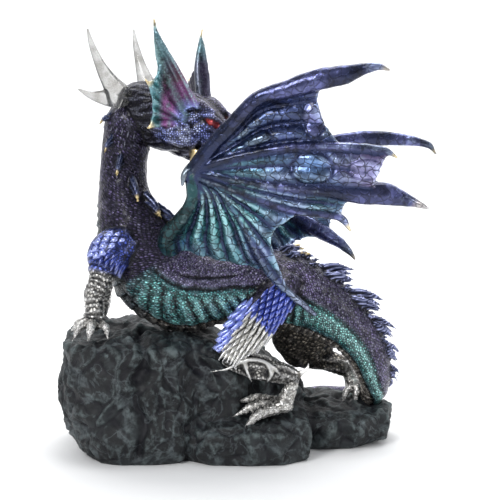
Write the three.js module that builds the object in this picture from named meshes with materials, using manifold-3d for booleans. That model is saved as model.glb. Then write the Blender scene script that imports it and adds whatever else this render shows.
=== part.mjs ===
// A dragon statue: a cast dragon with raised wings on a rock base, with two clear horns set in its head.
// Millimetres, +Z up. The body lies along X with its chest toward -X and its left flank toward -Y.
// The neck turns back over the left shoulder, so the head looks toward +X.
// The origin is on the flat underside of the rock.

import * as THREE from "three";
import { mergeVertices } from "three/addons/utils/BufferGeometryUtils.js";
import { ImprovedNoise } from "three/addons/math/ImprovedNoise.js";
import Module from "manifold-3d";

const wasm = await Module();
wasm.setup();

// Driving dimensions.
const GAP = 0.35; // between pieces that touch
const WEB_THICKNESS = 2.4; // skin of the wings
const FRILL_THICKNESS = 1.8; // skin of the head's fans
const LEAST_RADIUS = 0.25; // of any tip
const FINEST = 0.5; // facets finer than this are merged
const WELD = 1e-5; // corners closer than this are one
const UP = [0, 0, 1];
const ASKEW = new THREE.Vector3(0.3, 0.9, 0.2); // along no spike, so a spike's back can be set square to it

// Shares of a ray: where its skin begins, and the step over which the skin's slope is taken.
const SKIN_START = 0.05;
const SLOPE_STEP = 0.01;

// How many sides and steps each sort of limb has; the rock's beds for limbs have the same.
const SPINE_FACETS = [10, 46];
const SKULL_FACETS = [10, 9];
const JAW_FACETS = [7, 5];
const CHEEK_FACETS = [6, 3];
const BUMP_FACETS = [5, 3];
const LEG_FACETS = [8, 4];
const TOE_FACETS = [4, 3];
const SPUR_FACETS = [4, 4];
const ARM_FACETS = [6, 5];
const THUMB_FACETS = [4, 2];
const FINGER_FACETS = [4, 7];
const HORN_FACETS = [7, 6];
const RIB_FACETS = [4, 3];
const SPIKE_FACETS = [4, 2];

// ---------------------------------------------------------------- shaping

// A smooth curve through rows of three numbers.
function curveThrough(rows) {
  return new THREE.CatmullRomCurve3(rows.map((row) => new THREE.Vector3(...row)));
}

// A limb follows stations of [x, y, z, half width, half depth]; the depth runs along its back's direction.
class Limb {
  constructor(stations, backs = UP) {
    this.stations = stations;
    this.backs = backs;
    this.path = curveThrough(stations.map((row) => row.slice(0, 3)));
    this.girth = curveThrough(stations.map((row) => [row[3], row[4] ?? row[3], 0]));
    this.lean = Array.isArray(backs[0]) ? curveThrough(backs) : curveThrough([backs, backs]);
  }

  frame(t) {
    const centre = this.path.getPoint(t);
    const along = this.path.getTangent(t);
    const back = this.lean.getPoint(t);
    back.addScaledVector(along, -back.dot(along)).normalize();
    const side = new THREE.Vector3().crossVectors(along, back);
    const girth = this.girth.getPoint(t);
    const width = Math.max(girth.x, LEAST_RADIUS);
    const depth = Math.max(girth.y, LEAST_RADIUS);
    return { centre, along, back, side, width, depth };
  }

  // A point at a share of the way from the middle to the skin, at an angle turned from the back.
  skin(t, angle, share = 1) {
    const { centre, back, side, width, depth } = this.frame(t);
    centre.addScaledVector(side, Math.sin(angle) * width * share);
    return centre.addScaledVector(back, Math.cos(angle) * depth * share);
  }

  grown(extra) {
    const fatter = this.stations.map(([x, y, z, width, depth = width]) => {
      return [x, y, z, width + extra, depth + extra];
    });
    return new Limb(fatter, this.backs);
  }
}

// Moves every corner of a closed geometry.
function reshape(geometry, place) {
  const corners = geometry.attributes.position;
  const corner = new THREE.Vector3();
  for (let index = 0; index < corners.count; index += 1) {
    corner.fromBufferAttribute(corners, index);
    const moved = place(corner);
    corners.setXYZ(index, moved.x, moved.y, moved.z);
  }
  return geometry;
}

function solidOf(geometry) {
  geometry.deleteAttribute("normal");
  geometry.deleteAttribute("uv");
  const merged = mergeVertices(geometry, WELD);
  const vertProperties = new Float32Array(merged.attributes.position.array);
  const triVerts = new Uint32Array(merged.index.array);
  return new wasm.Manifold(new wasm.Mesh({ numProp: 3, vertProperties, triVerts }));
}

function joined(solids) {
  return solids.reduce((whole, solid) => whole.add(solid));
}

// The one large body of a joined solid, without the crumbs and the tiny facets which cutting leaves.
function soundBody(solid, finest) {
  const bodies = solid.simplify(finest).decompose();
  return bodies.reduce((largest, body) => (body.volume() > largest.volume() ? body : largest));
}

// The round body of a limb: a cylinder bent along its path.
function limbSolid(limb, [sides, steps]) {
  const bar = new THREE.CylinderGeometry(1, 1, 1, sides, steps);
  const bent = reshape(bar, (corner) => {
    const { centre, back, side, width, depth } = limb.frame(corner.y + 0.5);
    centre.addScaledVector(side, corner.x * width);
    return centre.addScaledVector(back, corner.z * depth);
  });
  return solidOf(bent);
}

// A pointed spike from a root toward a tip, bowed toward a third direction.
// Its depth is its width times a flatness, and its waist is thinner than its root.
function spike(root, tip, radius, bow, flatness) {
  const waist = 0.62 * radius;
  const middle = root.clone().lerp(tip, 0.5).add(bow);
  const back = tip.clone().sub(root).cross(ASKEW);
  const stations = [
    [...root, radius, radius * flatness],
    [...middle, waist, waist * flatness],
    [...tip, LEAST_RADIUS],
  ];
  return limbSolid(new Limb(stations, back.toArray()), SPIKE_FACETS);
}

// How far out a row of a skin's grid lies at a share of the way across; its free edge is bowed inward.
function rowOf(u, share, bow) {
  return SKIN_START + (1 - SKIN_START) * u * (1 - bow * 4 * share * (1 - share));
}

// The direction that a skin faces, square to its two slopes.
function facing(flat, u, s) {
  const out = flat(u + SLOPE_STEP, s).sub(flat(u - SLOPE_STEP, s));
  const over = flat(u, s + SLOPE_STEP).sub(flat(u, s - SLOPE_STEP));
  return out.cross(over).normalize();
}

// A small sheet of skin on three or more rays. Each ray is a thick rib which runs out to its own tip.
// Between two rays the skin is thin, reaches a share of the way out along each, and its edge is bowed inward.
function fan(rays, webs, { thickness, rim, outward, across }) {
  const crowding = 0.4; // draws the columns of the grid toward the rays, so that each rib is narrow
  const webAt = (s) => THREE.MathUtils.clamp(Math.floor(s), 0, webs.length - 1);
  const flat = (u, s) => {
    const index = webAt(s);
    const share = s - index;
    const { reach: [reachA, reachB], bow } = webs[index];
    const onRay = share === 0 || share === 1;
    const out = rowOf(u, share, bow);
    const edge = rays[index].path.getPoint(out * (onRay ? 1 : reachA));
    return edge.lerp(rays[index + 1].path.getPoint(out * (onRay ? 1 : reachB)), share);
  };
  const sheet = new THREE.BoxGeometry(1, 1, 1, outward, across * webs.length, 1);
  const hung = reshape(sheet, (corner) => {
    const u = corner.x + 0.5;
    const place = Math.round((corner.y + 0.5) * across * webs.length) / across;
    const index = webAt(place);
    const middle = 2 * (place - index) - 1;
    const share = 0.5 + 0.5 * Math.sign(middle) * Math.abs(middle) ** crowding;
    const depth = thickness + rim * (1 - u) * middle ** 4;
    const s = index + share;
    return flat(u, s).addScaledVector(facing(flat, u, s), corner.z * depth);
  });
  return solidOf(hung);
}

// A sheet of skin between two rays. It runs out along each to a reach, and its free edge is bowed inward.
// Its middle sags to one side, and folds of skin may run out across it.
function web(rayA, rayB, { reach, bow = 0.2, sag = 0, folds = 0, fold = 0, grid = [4, 4] }) {
  const [reachA, reachB] = reach;
  const [outward, across] = grid;
  const flat = (u, s) => {
    const out = rowOf(u, s, bow);
    const edgeA = rayA.path.getPoint(out * reachA);
    return edgeA.lerp(rayB.path.getPoint(out * reachB), s);
  };
  const sheet = new THREE.BoxGeometry(1, 1, 1, outward, across, 1);
  const hung = reshape(sheet, (corner) => {
    const u = corner.x + 0.5;
    const s = corner.y + 0.5;
    const hang = sag * Math.sin(Math.PI * s) * u;
    const ripple = fold * Math.sin(folds * 2 * Math.PI * s) * Math.sqrt(u);
    return flat(u, s).addScaledVector(facing(flat, u, s), hang + ripple + corner.z * WEB_THICKNESS);
  });
  return solidOf(hung);
}

// ---------------------------------------------------------------- body, neck and tail

// From inside the skull, down the neck, along the trunk and down the tail to its tip behind the rock.
// The neck's back starts toward -X under the skull and turns past -Y to +X at its foot.
const SPINE = new Limb(
  [
    [-60, 4, 191, 8, 8],
    [-66, 5, 180, 13.5, 12.5],
    [-68, 4, 165, 13, 12.5],
    [-69.5, 2, 149, 13, 13],
    [-68, 1, 135, 15, 16.5],
    [-64, 0, 121, 18, 21],
    [-56, 0, 107, 21, 25],
    [-49, 0, 98, 23, 27],
    [-36, 0, 91, 23, 27],
    [-20, 0, 90, 22, 22],
    [-2, 0, 91, 19, 19],
    [18, 0, 88.5, 18, 21],
    [36.5, 0, 80, 16, 18.5],
    [52, -1, 69, 13, 14.5],
    [63, 0, 56, 10.5, 12],
    [69.5, 5, 40, 8.8, 9.5],
    [70, 16, 27, 7.6, 7.6],
    [64, 31, 19, 6.8, 6.8],
    [46, 43, 17, 5.8, 5.8],
    [24, 48, 15, 4.6, 4.6],
    [2, 46, 14, 3.2, 3.2],
    [-16, 41, 15, 0.6, 0.6],
  ],
  [
    [-1, 0.1, 0.3],
    [-0.9, -0.5, 0],
    [-0.4, -0.9, 0],
    [0.4, -0.9, 0],
    [0.85, -0.5, 0.1],
    [0.95, -0.2, 0.3],
    [0.75, 0, 0.65],
    [0.5, 0, 0.85],
    [0.15, 0, 1],
    [0, 0, 1],
    [0, 0, 1],
    [0.2, 0, 1],
    [0.45, 0, 0.9],
    [0.7, 0, 0.7],
    [0.85, 0, 0.5],
    [0.95, 0, 0.3],
    [0.7, 0.5, 0.5],
    [0.3, 0.6, 0.75],
    [0.1, 0.5, 0.85],
    [0, 0.4, 0.9],
    [0, 0.4, 0.9],
    [0, 0.4, 0.9],
  ],
);

// Spikes along the back, each planted at a share of the spine and leaning toward the tail.
// The tail's crest has a tall spike in every three, and it gets lower toward the tail's tip.
function backSpikes() {
  const shape = { seat: 0.86, sweep: 1.1, bow: 0.15, flatness: 1.6 };
  const spikes = [];
  const plant = (t, length, radius) => {
    const { along, back } = SPINE.frame(t);
    const root = SPINE.skin(t, 0, shape.seat);
    const tip = SPINE.skin(t, 0).addScaledVector(back, length).addScaledVector(along, length * shape.sweep);
    spikes.push(spike(root, tip, radius, back.clone().multiplyScalar(length * shape.bow), shape.flatness));
  };
  const neck = { first: 0.045, step: 0.034, count: 6, length: 3.2, growth: 1, radius: 2.2 };
  for (let index = 0; index < neck.count; index += 1) {
    plant(neck.first + neck.step * index, neck.length + neck.growth * index, neck.radius);
  }
  const tail = {
    first: 0.505, last: 0.755, count: 13, tallEvery: 3, tall: 9, low: 5.2, lowering: 0.4,
    radius: 2.8, thinning: 1,
  };
  for (let index = 0; index < tail.count; index += 1) {
    const share = index / (tail.count - 1);
    const length = index % tail.tallEvery === 1 ? tail.tall : tail.low;
    const t = tail.first + (tail.last - tail.first) * share;
    plant(t, length * (1 - tail.lowering * share), tail.radius - tail.thinning * share);
  }
  return spikes;
}

// Raised ribs that run down both flanks and lean toward the tail.
function flankRibs() {
  const ribs = [];
  const row = {
    first: 0.295, step: 0.038, count: 5, top: 1.35, drop: 1.05, lean: 0.045, sunk: 0.97, thin: 0.6, swell: 1.5,
  };
  const belly = 0.15; // each rib is thickest a little above its middle
  for (const side of [-1, 1]) {
    for (let index = 0; index < row.count; index += 1) {
      const t = row.first + row.step * index;
      const stations = [0, 0.35, 0.7, 1].map((share) => {
        const place = SPINE.skin(t + row.lean * share, side * (row.top + row.drop * share), row.sunk);
        const size = row.thin + row.swell * Math.sin(Math.PI * Math.min(share + belly, 1));
        return [...place, size, size];
      });
      ribs.push(limbSolid(new Limb(stations, [0, side, 0]), RIB_FACETS));
    }
  }
  return ribs;
}

// ---------------------------------------------------------------- legs

// A leg's stations end at the wrist or heel; its toes reach out from there, each with a hooked claw.
function toe(from, knuckle, tip, radius) {
  const shape = { root: 1.1, claw: 0.62, clawStart: 0.45 };
  const claw = new THREE.Vector3(...knuckle).lerp(new THREE.Vector3(...tip), shape.clawStart);
  return new Limb([
    [...from, radius * shape.root],
    [...knuckle, radius],
    [...claw, radius * shape.claw],
    [...tip, LEAST_RADIUS],
  ]);
}

const LEFT_FORELEG = new Limb([
  [-65, -12, 118, 9, 9],
  [-75.5, -16, 111, 12, 10.5],
  [-79.5, -19, 102, 8, 8],
  [-81, -21, 96, 6, 6],
  [-84, -23, 89, 5.6, 5.8],
  [-83.5, -24.5, 82, 4.8, 5.2],
  [-84, -25, 76, 4.8, 5],
  [-86, -26, 71, 4, 4.5],
], [-0.3, -1, 0]);

const LEFT_HAND = [
  toe([-85, -26, 75], [-92, -26, 74.5], [-98, -25, 68], 2.5),
  toe([-86, -28, 75], [-91, -32, 74], [-95, -36, 66], 2.5),
  toe([-84, -29, 75], [-85, -36, 73], [-86, -40.5, 65], 2.5),
  toe([-81, -27, 74], [-77, -32, 73], [-75, -37, 66], 2.3),
];

const RIGHT_FORELEG = new Limb([
  [-60, 12, 116, 9, 9],
  [-70, 17, 108, 9, 9],
  [-77, 20, 99, 6.5, 7.5],
  [-81, 22, 91, 5, 6],
  [-83, 24, 83, 4.4, 5],
  [-84, 25, 76, 4.4, 5],
  [-85, 26, 70, 4, 4.5],
], [-0.3, 1, 0]);

const RIGHT_HAND = [
  toe([-85, 26, 73], [-91, 25, 71.5], [-97, 24, 64], 2.4),
  toe([-85, 28, 73], [-90, 32, 71], [-95, 35, 63], 2.4),
  toe([-83, 29, 73], [-83, 36, 70.5], [-84, 41, 63], 2.4),
];

const LEFT_THIGH = new Limb([
  [20, -6, 95, 9, 13],
  [14, -12, 87, 11, 15],
  [5, -18, 76, 11.5, 14],
  [-4, -23, 66, 9.5, 11],
  [-10, -26, 59, 6.5, 7.5],
  [-12, -27, 54, 4, 4.5],
], [0.7, -0.3, 0.7]);

const LEFT_SHIN = new Limb([
  [-13, -26.5, 57, 4.5, 5],
  [-6, -27, 54, 5, 6.5],
  [5, -28, 50.5, 4.8, 7],
  [15, -28.5, 48, 4.2, 5.6],
  [22, -29, 46, 4, 4.6],
  [25, -29, 43, 3, 3.4],
]);

const LEFT_HEEL = new Limb([
  [23, -29, 47, 4, 4],
  [22.5, -29, 41, 3.6, 3.8],
  [20, -29.5, 35, 4.2, 4.4],
  [18, -30, 29.5, 5.4, 5.6],
  [17, -30, 26, 3, 3],
], [1, 0, 0]);

const LEFT_FOOT = [
  toe([17, -27, 31], [3, -25, 32.5], [-9, -24, 30], 3),
  toe([17, -30, 30], [2, -30.5, 29.5], [-12, -33, 23], 3),
  toe([16, -32, 29], [4, -35, 25.5], [-5, -38, 17], 3),
];

const HOCK_SPUR = new Limb([
  [20, -29, 46, 2],
  [27, -29.5, 47.5, 1.5],
  [31, -30, 50.5, 1.1],
  [31.5, -30, 54, 0.4],
]);

const RIGHT_THIGH = new Limb([
  [22, 8, 88, 9, 13],
  [27, 14, 75, 10, 17],
  [30, 19, 62, 9.5, 19],
  [32, 24, 51, 8, 17.5],
  [32, 26, 43, 6, 13],
  [32, 27, 38.5, 3, 7],
], [1, 0.2, 0]);

const RIGHT_SHIN = new Limb([
  [24, 27, 44, 5, 5],
  [36, 27, 43, 5.5, 6],
  [46, 27, 41, 5, 5.6],
  [54, 26, 38, 4.4, 5],
  [58, 25, 35, 3.4, 3.8],
]);

const RIGHT_HEEL = new Limb([
  [54, 26, 42, 4, 4],
  [57, 25, 34, 3.6, 3.8],
  [59, 24, 28, 4.4, 4.6],
  [60, 24, 24.5, 4.2, 4.2],
], [1, 0, 0]);

const RIGHT_FOOT = [
  toe([58, 22, 27], [55, 17, 26.5], [52, 13, 19], 2.4),
  toe([60, 21, 27], [60, 15, 26], [59, 10, 18.5], 2.4),
  toe([62, 22, 27], [66, 17, 25.5], [68, 13, 18.5], 2.4),
];

const THIGH_SCALES = {
  first: 0.2, last: 0.74, rows: 2, across: 3, spread: 1.5, length: 12, width: 3.4,
  seat: 0.9, lift: 1.2, flatness: 0.6,
};

// Rows of long flat scales on a thigh, lapped like feathers, about the side that faces outward.
function feathers(thigh, outside) {
  const { first, last, rows, across, spread, length, width, seat, lift, flatness } = THIGH_SCALES;
  const scales = [];
  for (let row = 0; row < rows; row += 1) {
    for (let place = 0; place < across; place += 1) {
      const t = first + (last - first) * (row + 0.5 * (place % 2)) / rows;
      const angle = outside + spread * ((place + 0.5) / across - 0.5);
      const skin = thigh.skin(t, angle);
      const out = skin.clone().sub(thigh.frame(t).centre).normalize();
      const root = thigh.skin(t, angle, seat);
      const tip = skin.addScaledVector(thigh.frame(t).along, length).addScaledVector(out, lift);
      scales.push(spike(root, tip, width, out, flatness));
    }
  }
  return scales;
}

// ---------------------------------------------------------------- wings

// Each wing has an arm up to a wrist, fingers that fan out from it and a whip that trails to the hip.
const LEFT_WRIST = [-31, -38, 157, 4, 4];
const RIGHT_WRIST = [-14, 42, 153, 4, 4];

const LEFT_WING = {
  arm: new Limb([
    [-44, -10, 108, 8, 8],
    [-43, -19, 121, 6, 6],
    [-36, -27, 131, 4.4, 4.4],
    [-30, -34, 143, 3.6, 3.6],
    LEFT_WRIST,
  ], [-1, 0, 0]),
  lead: new Limb([
    LEFT_WRIST,
    [-20, -40, 171, 4.2, 4.2],
    [-9, -43, 182.5, 4.2, 4.2],
    [4, -47, 196, 4, 4],
    [18, -50, 201, 4.2, 4.6],
    [36, -53, 206.5, 4, 5.6],
    [47, -54, 208.5, 3.8, 5.2],
    [57, -55, 211.5, 2.8, 3.2],
    [65, -57, 213, 1.8, 2],
    [71, -58, 211, 0.5, 0.5],
  ]),
  second: new Limb([
    [-30, -38, 158, 2.4, 2.4],
    [-13, -42, 164, 2.3, 2.3],
    [3, -45, 168, 2.2, 2.2],
    [23, -48, 171.3, 2.2, 2.2],
    [44, -50, 171.5, 2.4, 2.4],
    [60, -52, 171, 2.4, 2.4],
    [70, -53, 169.5, 1.8, 1.8],
    [76, -53, 166, 0.5, 0.5],
  ]),
  third: new Limb([
    [-30, -38, 157, 2.2, 2.2],
    [-13, -41, 154.5, 2.2, 2.2],
    [3, -43, 152, 2.3, 2.3],
    [21, -45, 149.5, 2.6, 2.6],
    [41, -46, 148.5, 3.4, 4],
    [58, -46, 147, 4.2, 5.8],
    [68, -46, 147, 4.2, 6.2],
    [80, -46, 144, 3.2, 4],
    [93, -45, 139, 0.6, 0.6],
  ]),
  fourth: new Limb([
    [-30, -38, 156, 2.2, 2.2],
    [-18, -40, 152, 2.2, 2.2],
    [-5, -41, 147, 2.2, 2.2],
    [10, -41, 141.5, 2.3, 2.3],
    [26, -41, 137, 2.3, 2.3],
    [39, -40, 135.5, 2.4, 2.4],
    [48, -40, 133, 2.2, 2.2],
    [53, -39, 126, 0.6, 0.6],
  ]),
  whip: new Limb([
    [-30, -38, 156, 2.2, 2.2],
    [-16, -39, 149, 2.4, 2.4],
    [-8, -37, 138, 2.8, 2.8],
    [-1, -34, 126, 3.2, 3.2],
    [4, -31, 115, 3.4, 3.4],
    [12, -26, 101, 3, 3],
    [21, -21, 91, 2.2, 2.2],
    [30, -17, 84, 1.5, 1.5],
    [37, -15, 77, 0.5, 0.5],
  ]),
  thumb: new Limb([
    [-30, -38, 160, 3, 3],
    [-34, -40, 156, 2.2, 2.2],
    [-35.5, -41.5, 150, 0.5, 0.5],
  ], [-1, 0, 0]),
};

const RIGHT_WING = {
  arm: new Limb([
    [-42, 10, 108, 8, 8],
    [-38, 19, 121, 6, 6],
    [-30, 28, 131, 4.4, 4.4],
    [-20, 36, 143, 3.6, 3.6],
    RIGHT_WRIST,
  ], [-1, 0, 0]),
  lead: new Limb([
    RIGHT_WRIST,
    [4, 46, 158, 4, 4],
    [29, 49, 162, 3.8, 3.8],
    [48, 50, 165, 3.6, 4],
    [67, 50, 167, 3.4, 4.6],
    [90, 50, 166, 2.8, 3.4],
    [103, 49, 163, 1.8, 2],
    [107, 48, 158, 0.5, 0.5],
  ]),
  second: new Limb([
    [-12, 42, 152, 2.4, 2.4],
    [20, 46, 151, 2.3, 2.3],
    [52, 48, 147, 2.6, 3],
    [70, 49, 141, 2.4, 3],
    [86, 50, 133, 0.5, 0.5],
  ]),
  third: new Limb([
    [-12, 42, 151, 2.3, 2.3],
    [8, 39, 136, 2.4, 2.4],
    [26, 34, 123.5, 3, 4.4],
    [40, 31, 116, 3.2, 4.6],
    [53, 28, 108, 2.4, 2.8],
    [60, 26, 100, 0.6, 0.6],
  ]),
  whip: new Limb([
    [-13, 41, 151, 2.3, 2.3],
    [-4, 38, 138, 2.8, 2.8],
    [5, 34, 125, 3.2, 3.2],
    [13, 29, 112, 3.2, 3.2],
    [22, 23, 98, 2.6, 2.6],
    [31, 17, 88, 1.6, 1.6],
    [38, 14, 78, 0.5, 0.5],
  ]),
  thumb: new Limb([
    [-13, 42, 156, 3, 3],
    [-18, 44, 153, 2.2, 2.2],
    [-20, 45.5, 147, 0.5, 0.5],
  ], [-1, 0, 0]),
};

function bones(wing) {
  const solids = [limbSolid(wing.arm, ARM_FACETS), limbSolid(wing.thumb, THUMB_FACETS)];
  for (const finger of ["lead", "second", "third", "fourth", "whip"]) {
    if (wing[finger]) {
      solids.push(limbSolid(wing[finger], FINGER_FACETS));
    }
  }
  return solids;
}

function leftWing() {
  const { arm, lead, second, third, fourth, whip } = LEFT_WING;
  const outArm = new Limb([...arm.stations].reverse());
  return [
    ...bones(LEFT_WING),
    web(lead, second, { reach: [0.57, 0.6], bow: 0.1, sag: 4, folds: 1, fold: 1.6 }),
    web(second, third, { reach: [0.9, 0.72], bow: 0.08, sag: -3.5 }),
    web(third, fourth, { reach: [0.62, 0.86], bow: 0.08, sag: -3 }),
    web(fourth, whip, { reach: [0.58, 0.78], bow: 0.24, sag: -3 }),
    web(whip, outArm, { reach: [0.6, 0.88], bow: -0.02, folds: 3.5, fold: 1.8, grid: [2, 14] }),
  ];
}

function rightWing() {
  const { arm, lead, second, third, whip } = RIGHT_WING;
  const outArm = new Limb([...arm.stations].reverse());
  return [
    ...bones(RIGHT_WING),
    web(lead, second, { reach: [0.6, 0.8], bow: 0.2, sag: -3 }),
    web(second, third, { reach: [0.75, 0.7], bow: 0.2, sag: 3 }),
    web(third, whip, { reach: [0.7, 0.6], bow: 0.14, sag: 3 }),
    web(whip, outArm, { reach: [0.62, 0.88], bow: -0.02, folds: 2.5, fold: 1.8, grid: [2, 10] }),
  ];
}

// ---------------------------------------------------------------- head

// The head is shaped in its own frame: +X toward the snout, +Y toward its left, +Z up.
const HEAD_PLACE = [-32, -7, 181];
const HEAD_TURN = THREE.MathUtils.degToRad(-22);
const HEAD_POSE = new THREE.Matrix4().makeRotationZ(HEAD_TURN).setPosition(...HEAD_PLACE);

function headLimb(stations, back = UP) {
  const posed = stations.map(([x, y, z, ...size]) => {
    const place = new THREE.Vector3(x, y, z).applyMatrix4(HEAD_POSE);
    return [...place, ...size];
  });
  const turned = new THREE.Vector3(...back).transformDirection(HEAD_POSE);
  return new Limb(posed, turned.toArray());
}

const SKULL = headLimb([
  [-41, 0, 8, 5, 5],
  [-35, 0, 10, 10, 9.5],
  [-26, 0, 8, 13, 13.5],
  [-13, 0, 3, 14.5, 16],
  [-1, 0, -1, 14, 16.5],
  [9, 0, -4, 12, 13],
  [18, 0, -10, 8.6, 8.5],
  [28, 0, -17, 6.6, 5.6],
  [37, 0, -24, 5.4, 4.2],
  [41, 0, -28, 3, 2.4],
]);

const JAW = headLimb([
  [-24, 0, -5, 8, 8],
  [-7, 0, -11, 9.5, 7],
  [8, 0, -18, 6.6, 4.6],
  [20, 0, -26, 4.8, 3],
  [31, 0, -34, 3.6, 2.2],
  [35, 0, -36, 1.6, 1.2],
]);

function headSides() {
  const solids = [];
  for (const side of [-1, 1]) {
    const onSide = (rows) => headLimb(rows.map(([x, y, ...rest]) => [x, y * side, ...rest]), [0.2, 0, 1]);
    const brow = onSide([[-4, 10, 9, 3, 2.6], [8, 9, 10, 3.6, 3], [17, 7, 5, 2.4, 2]]);
    const eye = onSide([[10, 8.5, 2, 1, 1], [13, 8.6, 0, 3.2, 2.6], [17, 7.4, -4, 1, 1]]);
    const cheek = onSide([[-8, 11, -2, 5, 7], [0, 12, -5, 5, 7], [8, 9, -9, 4, 5]]);
    const tusk = onSide([[6, 8, -16, 3, 3], [4, 9, -23, 2, 2], [1, 9, -29, 0.5, 0.5]]);
    solids.push(limbSolid(cheek, CHEEK_FACETS));
    solids.push(...[brow, eye, tusk].map((bump) => limbSolid(bump, BUMP_FACETS)));
  }
  return solids;
}

// A fan of skin stands behind each cheek, on three rays that spread from it.
const FRILLS = [
  {
    root: [3, -12, 2],
    tips: [[-11.5, -21, 56], [-15, -25, 24], [-15, -24, -2]],
    crest: 7,
  },
  {
    root: [3, 12, 2],
    tips: [[-4, 25, 49], [-13, 27, 22], [-15, 25, -2]],
    crest: 3,
  },
];

// The rays start one under another. A thinner edge rises in front of them to just under the tallest tip.
function frill({ root, tips, crest }) {
  const ray = { behind: 1, rise: 2, step: 2, bow: new THREE.Vector3(-2.5, 0, 1), radii: [2, 1.6] };
  const edge = { rise: 6, bend: 0.55, sink: 5, radii: [1.2, 1], end: new THREE.Vector3(0.6, 0, -6) };
  const foot = new THREE.Vector3(...root);
  const rays = tips.map((tip, index) => {
    const start = foot.clone().add(new THREE.Vector3(-ray.behind, 0, ray.rise - ray.step * index));
    const middle = start.clone().lerp(new THREE.Vector3(...tip), 0.5).add(ray.bow);
    return headLimb([[...start, ray.radii[0]], [...middle, ray.radii[1]], [...tip, LEAST_RADIUS]]);
  });
  const top = new THREE.Vector3(...tips[0]);
  const start = foot.clone().add(new THREE.Vector3(crest, 0, edge.rise));
  const middle = foot.clone().lerp(top, edge.bend).add(new THREE.Vector3(crest, 0, -edge.sink));
  const end = top.add(edge.end);
  const front = headLimb([[...start, edge.radii[0]], [...middle, edge.radii[1]], [...end, LEAST_RADIUS]]);
  const webs = [
    { reach: [0.88, 0.86], bow: 0 },
    { reach: [0.62, 1], bow: 0.1 },
    { reach: [1, 1], bow: 0.18 },
  ];
  const skin = { thickness: FRILL_THICKNESS, rim: 2.6, outward: 4, across: 4 };
  return fan([front, ...rays], webs, skin);
}

// ---------------------------------------------------------------- horns

// Each clear horn has a long prong and a short one, and its root sits in a socket at the back of the skull.
function hornStations(root, lean) {
  const at = (out, across, rise) => [root[0] + out * lean[0], root[1] + across * lean[1], root[2] + rise];
  const long = [
    [...at(6, -3, -4), 4.5, 3.6],
    [...at(1, 0, 1), 7.2, 4.4],
    [...at(-4, 2.5, 9), 6.4, 3.8],
    [...at(-8.5, 4, 18), 4.6, 2.8],
    [...at(-13, 5, 29), 2.6, 1.8],
    [...at(-15.5, 5.5, 37), 0.5, 0.5],
  ];
  const short = [
    [...at(1, 1, -2), 4.5, 3.6],
    [...at(-6, 3, 0), 4.4, 3.2],
    [...at(-14, 5, 1.5), 2.2, 2],
    [...at(-21, 6, 5), 0.5, 0.5],
  ];
  return [long, short];
}

function horn(root, lean, extra = 0) {
  const prongs = hornStations(root, lean).map((stations) => new Limb(stations, [0.2, 1, 0]).grown(extra));
  return joined(prongs.map((prong) => limbSolid(prong, HORN_FACETS)));
}

const RIGHT_HORN = { root: [-71, -4, 194], lean: [1, -1.3] };
const LEFT_HORN = { root: [-55, 13, 193], lean: [0.6, 1.4] };

// ---------------------------------------------------------------- rock

const noise = new ImprovedNoise();

// How far split stone stands out: sharp ridges of two sizes, the finer ones lower.
function crag(x, y, z) {
  const size = 17;
  const finer = 2.3;
  const fineShare = 0.3;
  const shift = 7; // keeps the fine ridges from lining up with the coarse ones
  const [a, b, c] = [x / size, y / size, z / size];
  const coarse = noise.noise(a, b, c);
  const fine = noise.noise(a * finer, b * finer, c * finer + shift);
  return (1 - 2 * Math.abs(coarse)) * (1 - fineShare) + (1 - 2 * Math.abs(fine)) * fineShare;
}

// A boulder with a squarish outline. It is flat below, and its top slopes by the two given grades.
// Its foot may draw in at the left end, at the right end and at the front and back.
function boulder(shape) {
  const { centre, half, height, grade = [0, 0], foot = [1, 1, 0.95], rough = 3, sides = 12 } = shape;
  const [halfX, halfY] = half;
  const side = [[0, 0], [1, 0], [1, 0.2], [1, 0.45], [1, 0.7], [0.96, 0.93]];
  const top = [[0.75, 1], [0.4, 1], [0, 1]];
  const outline = [...side, ...top].map(([out, up]) => new THREE.Vector2(out, up));
  const lathe = new THREE.LatheGeometry(outline, sides);
  const squareness = 3.2;
  const footHeight = 0.55; // share of the height above which nothing draws in
  const brow = { height: 0.9, wear: 0.45 }; // the top wears less than the sides
  const block = reshape(lathe, (corner) => {
    const out = Math.hypot(corner.x, corner.z);
    const angle = Math.atan2(-corner.z, corner.x);
    const up = corner.y;
    const [right, back] = [Math.cos(angle), Math.sin(angle)];
    const square = (Math.abs(right) ** squareness + Math.abs(back) ** squareness) ** (-1 / squareness);
    const flare = Math.sqrt(Math.min(1, up / footHeight));
    const [atLeft, atRight, atBack] = foot.map((share) => share + (1 - share) * flare);
    let x = centre[0] + right * out * square * halfX * (right < 0 ? atLeft : atRight);
    let y = centre[1] + back * out * square * halfY * atBack;
    let z = up * (height + grade[0] * (x - centre[0]) + grade[1] * (y - centre[1]));
    if (up > 0) {
      const wear = rough * crag(x, y, z);
      const sideways = out * Math.min(1, 4 * (1.05 - up));
      x += right * wear * sideways;
      y += back * wear * sideways;
      z += up > brow.height ? wear * brow.wear : 0;
    }
    return new THREE.Vector3(x, y, z);
  });
  return solidOf(block);
}

function rockMass() {
  return joined([
    boulder({ centre: [-64, 0], half: [38, 44], height: 65, foot: [0.64, 1, 0.98], rough: 4, sides: 20 }),
    boulder({ centre: [-20, 4], half: [20, 35], height: 59, grade: [-0.35, 0], rough: 4 }),
    boulder({ centre: [-4, 13], half: [18, 27], height: 53, grade: [-0.45, 0] }),
    boulder({ centre: [12, 13], half: [17, 26], height: 41, grade: [-0.45, 0] }),
    boulder({ centre: [42, 14], half: [37, 27], height: 20.5, grade: [-0.04, 0.08], foot: [1, 0.7, 0.95] }),
    boulder({ centre: [-2, -20], half: [34, 26], height: 23, grade: [0, 0.24], rough: 2 }),
  ]);
}

// ---------------------------------------------------------------- pieces

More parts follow.
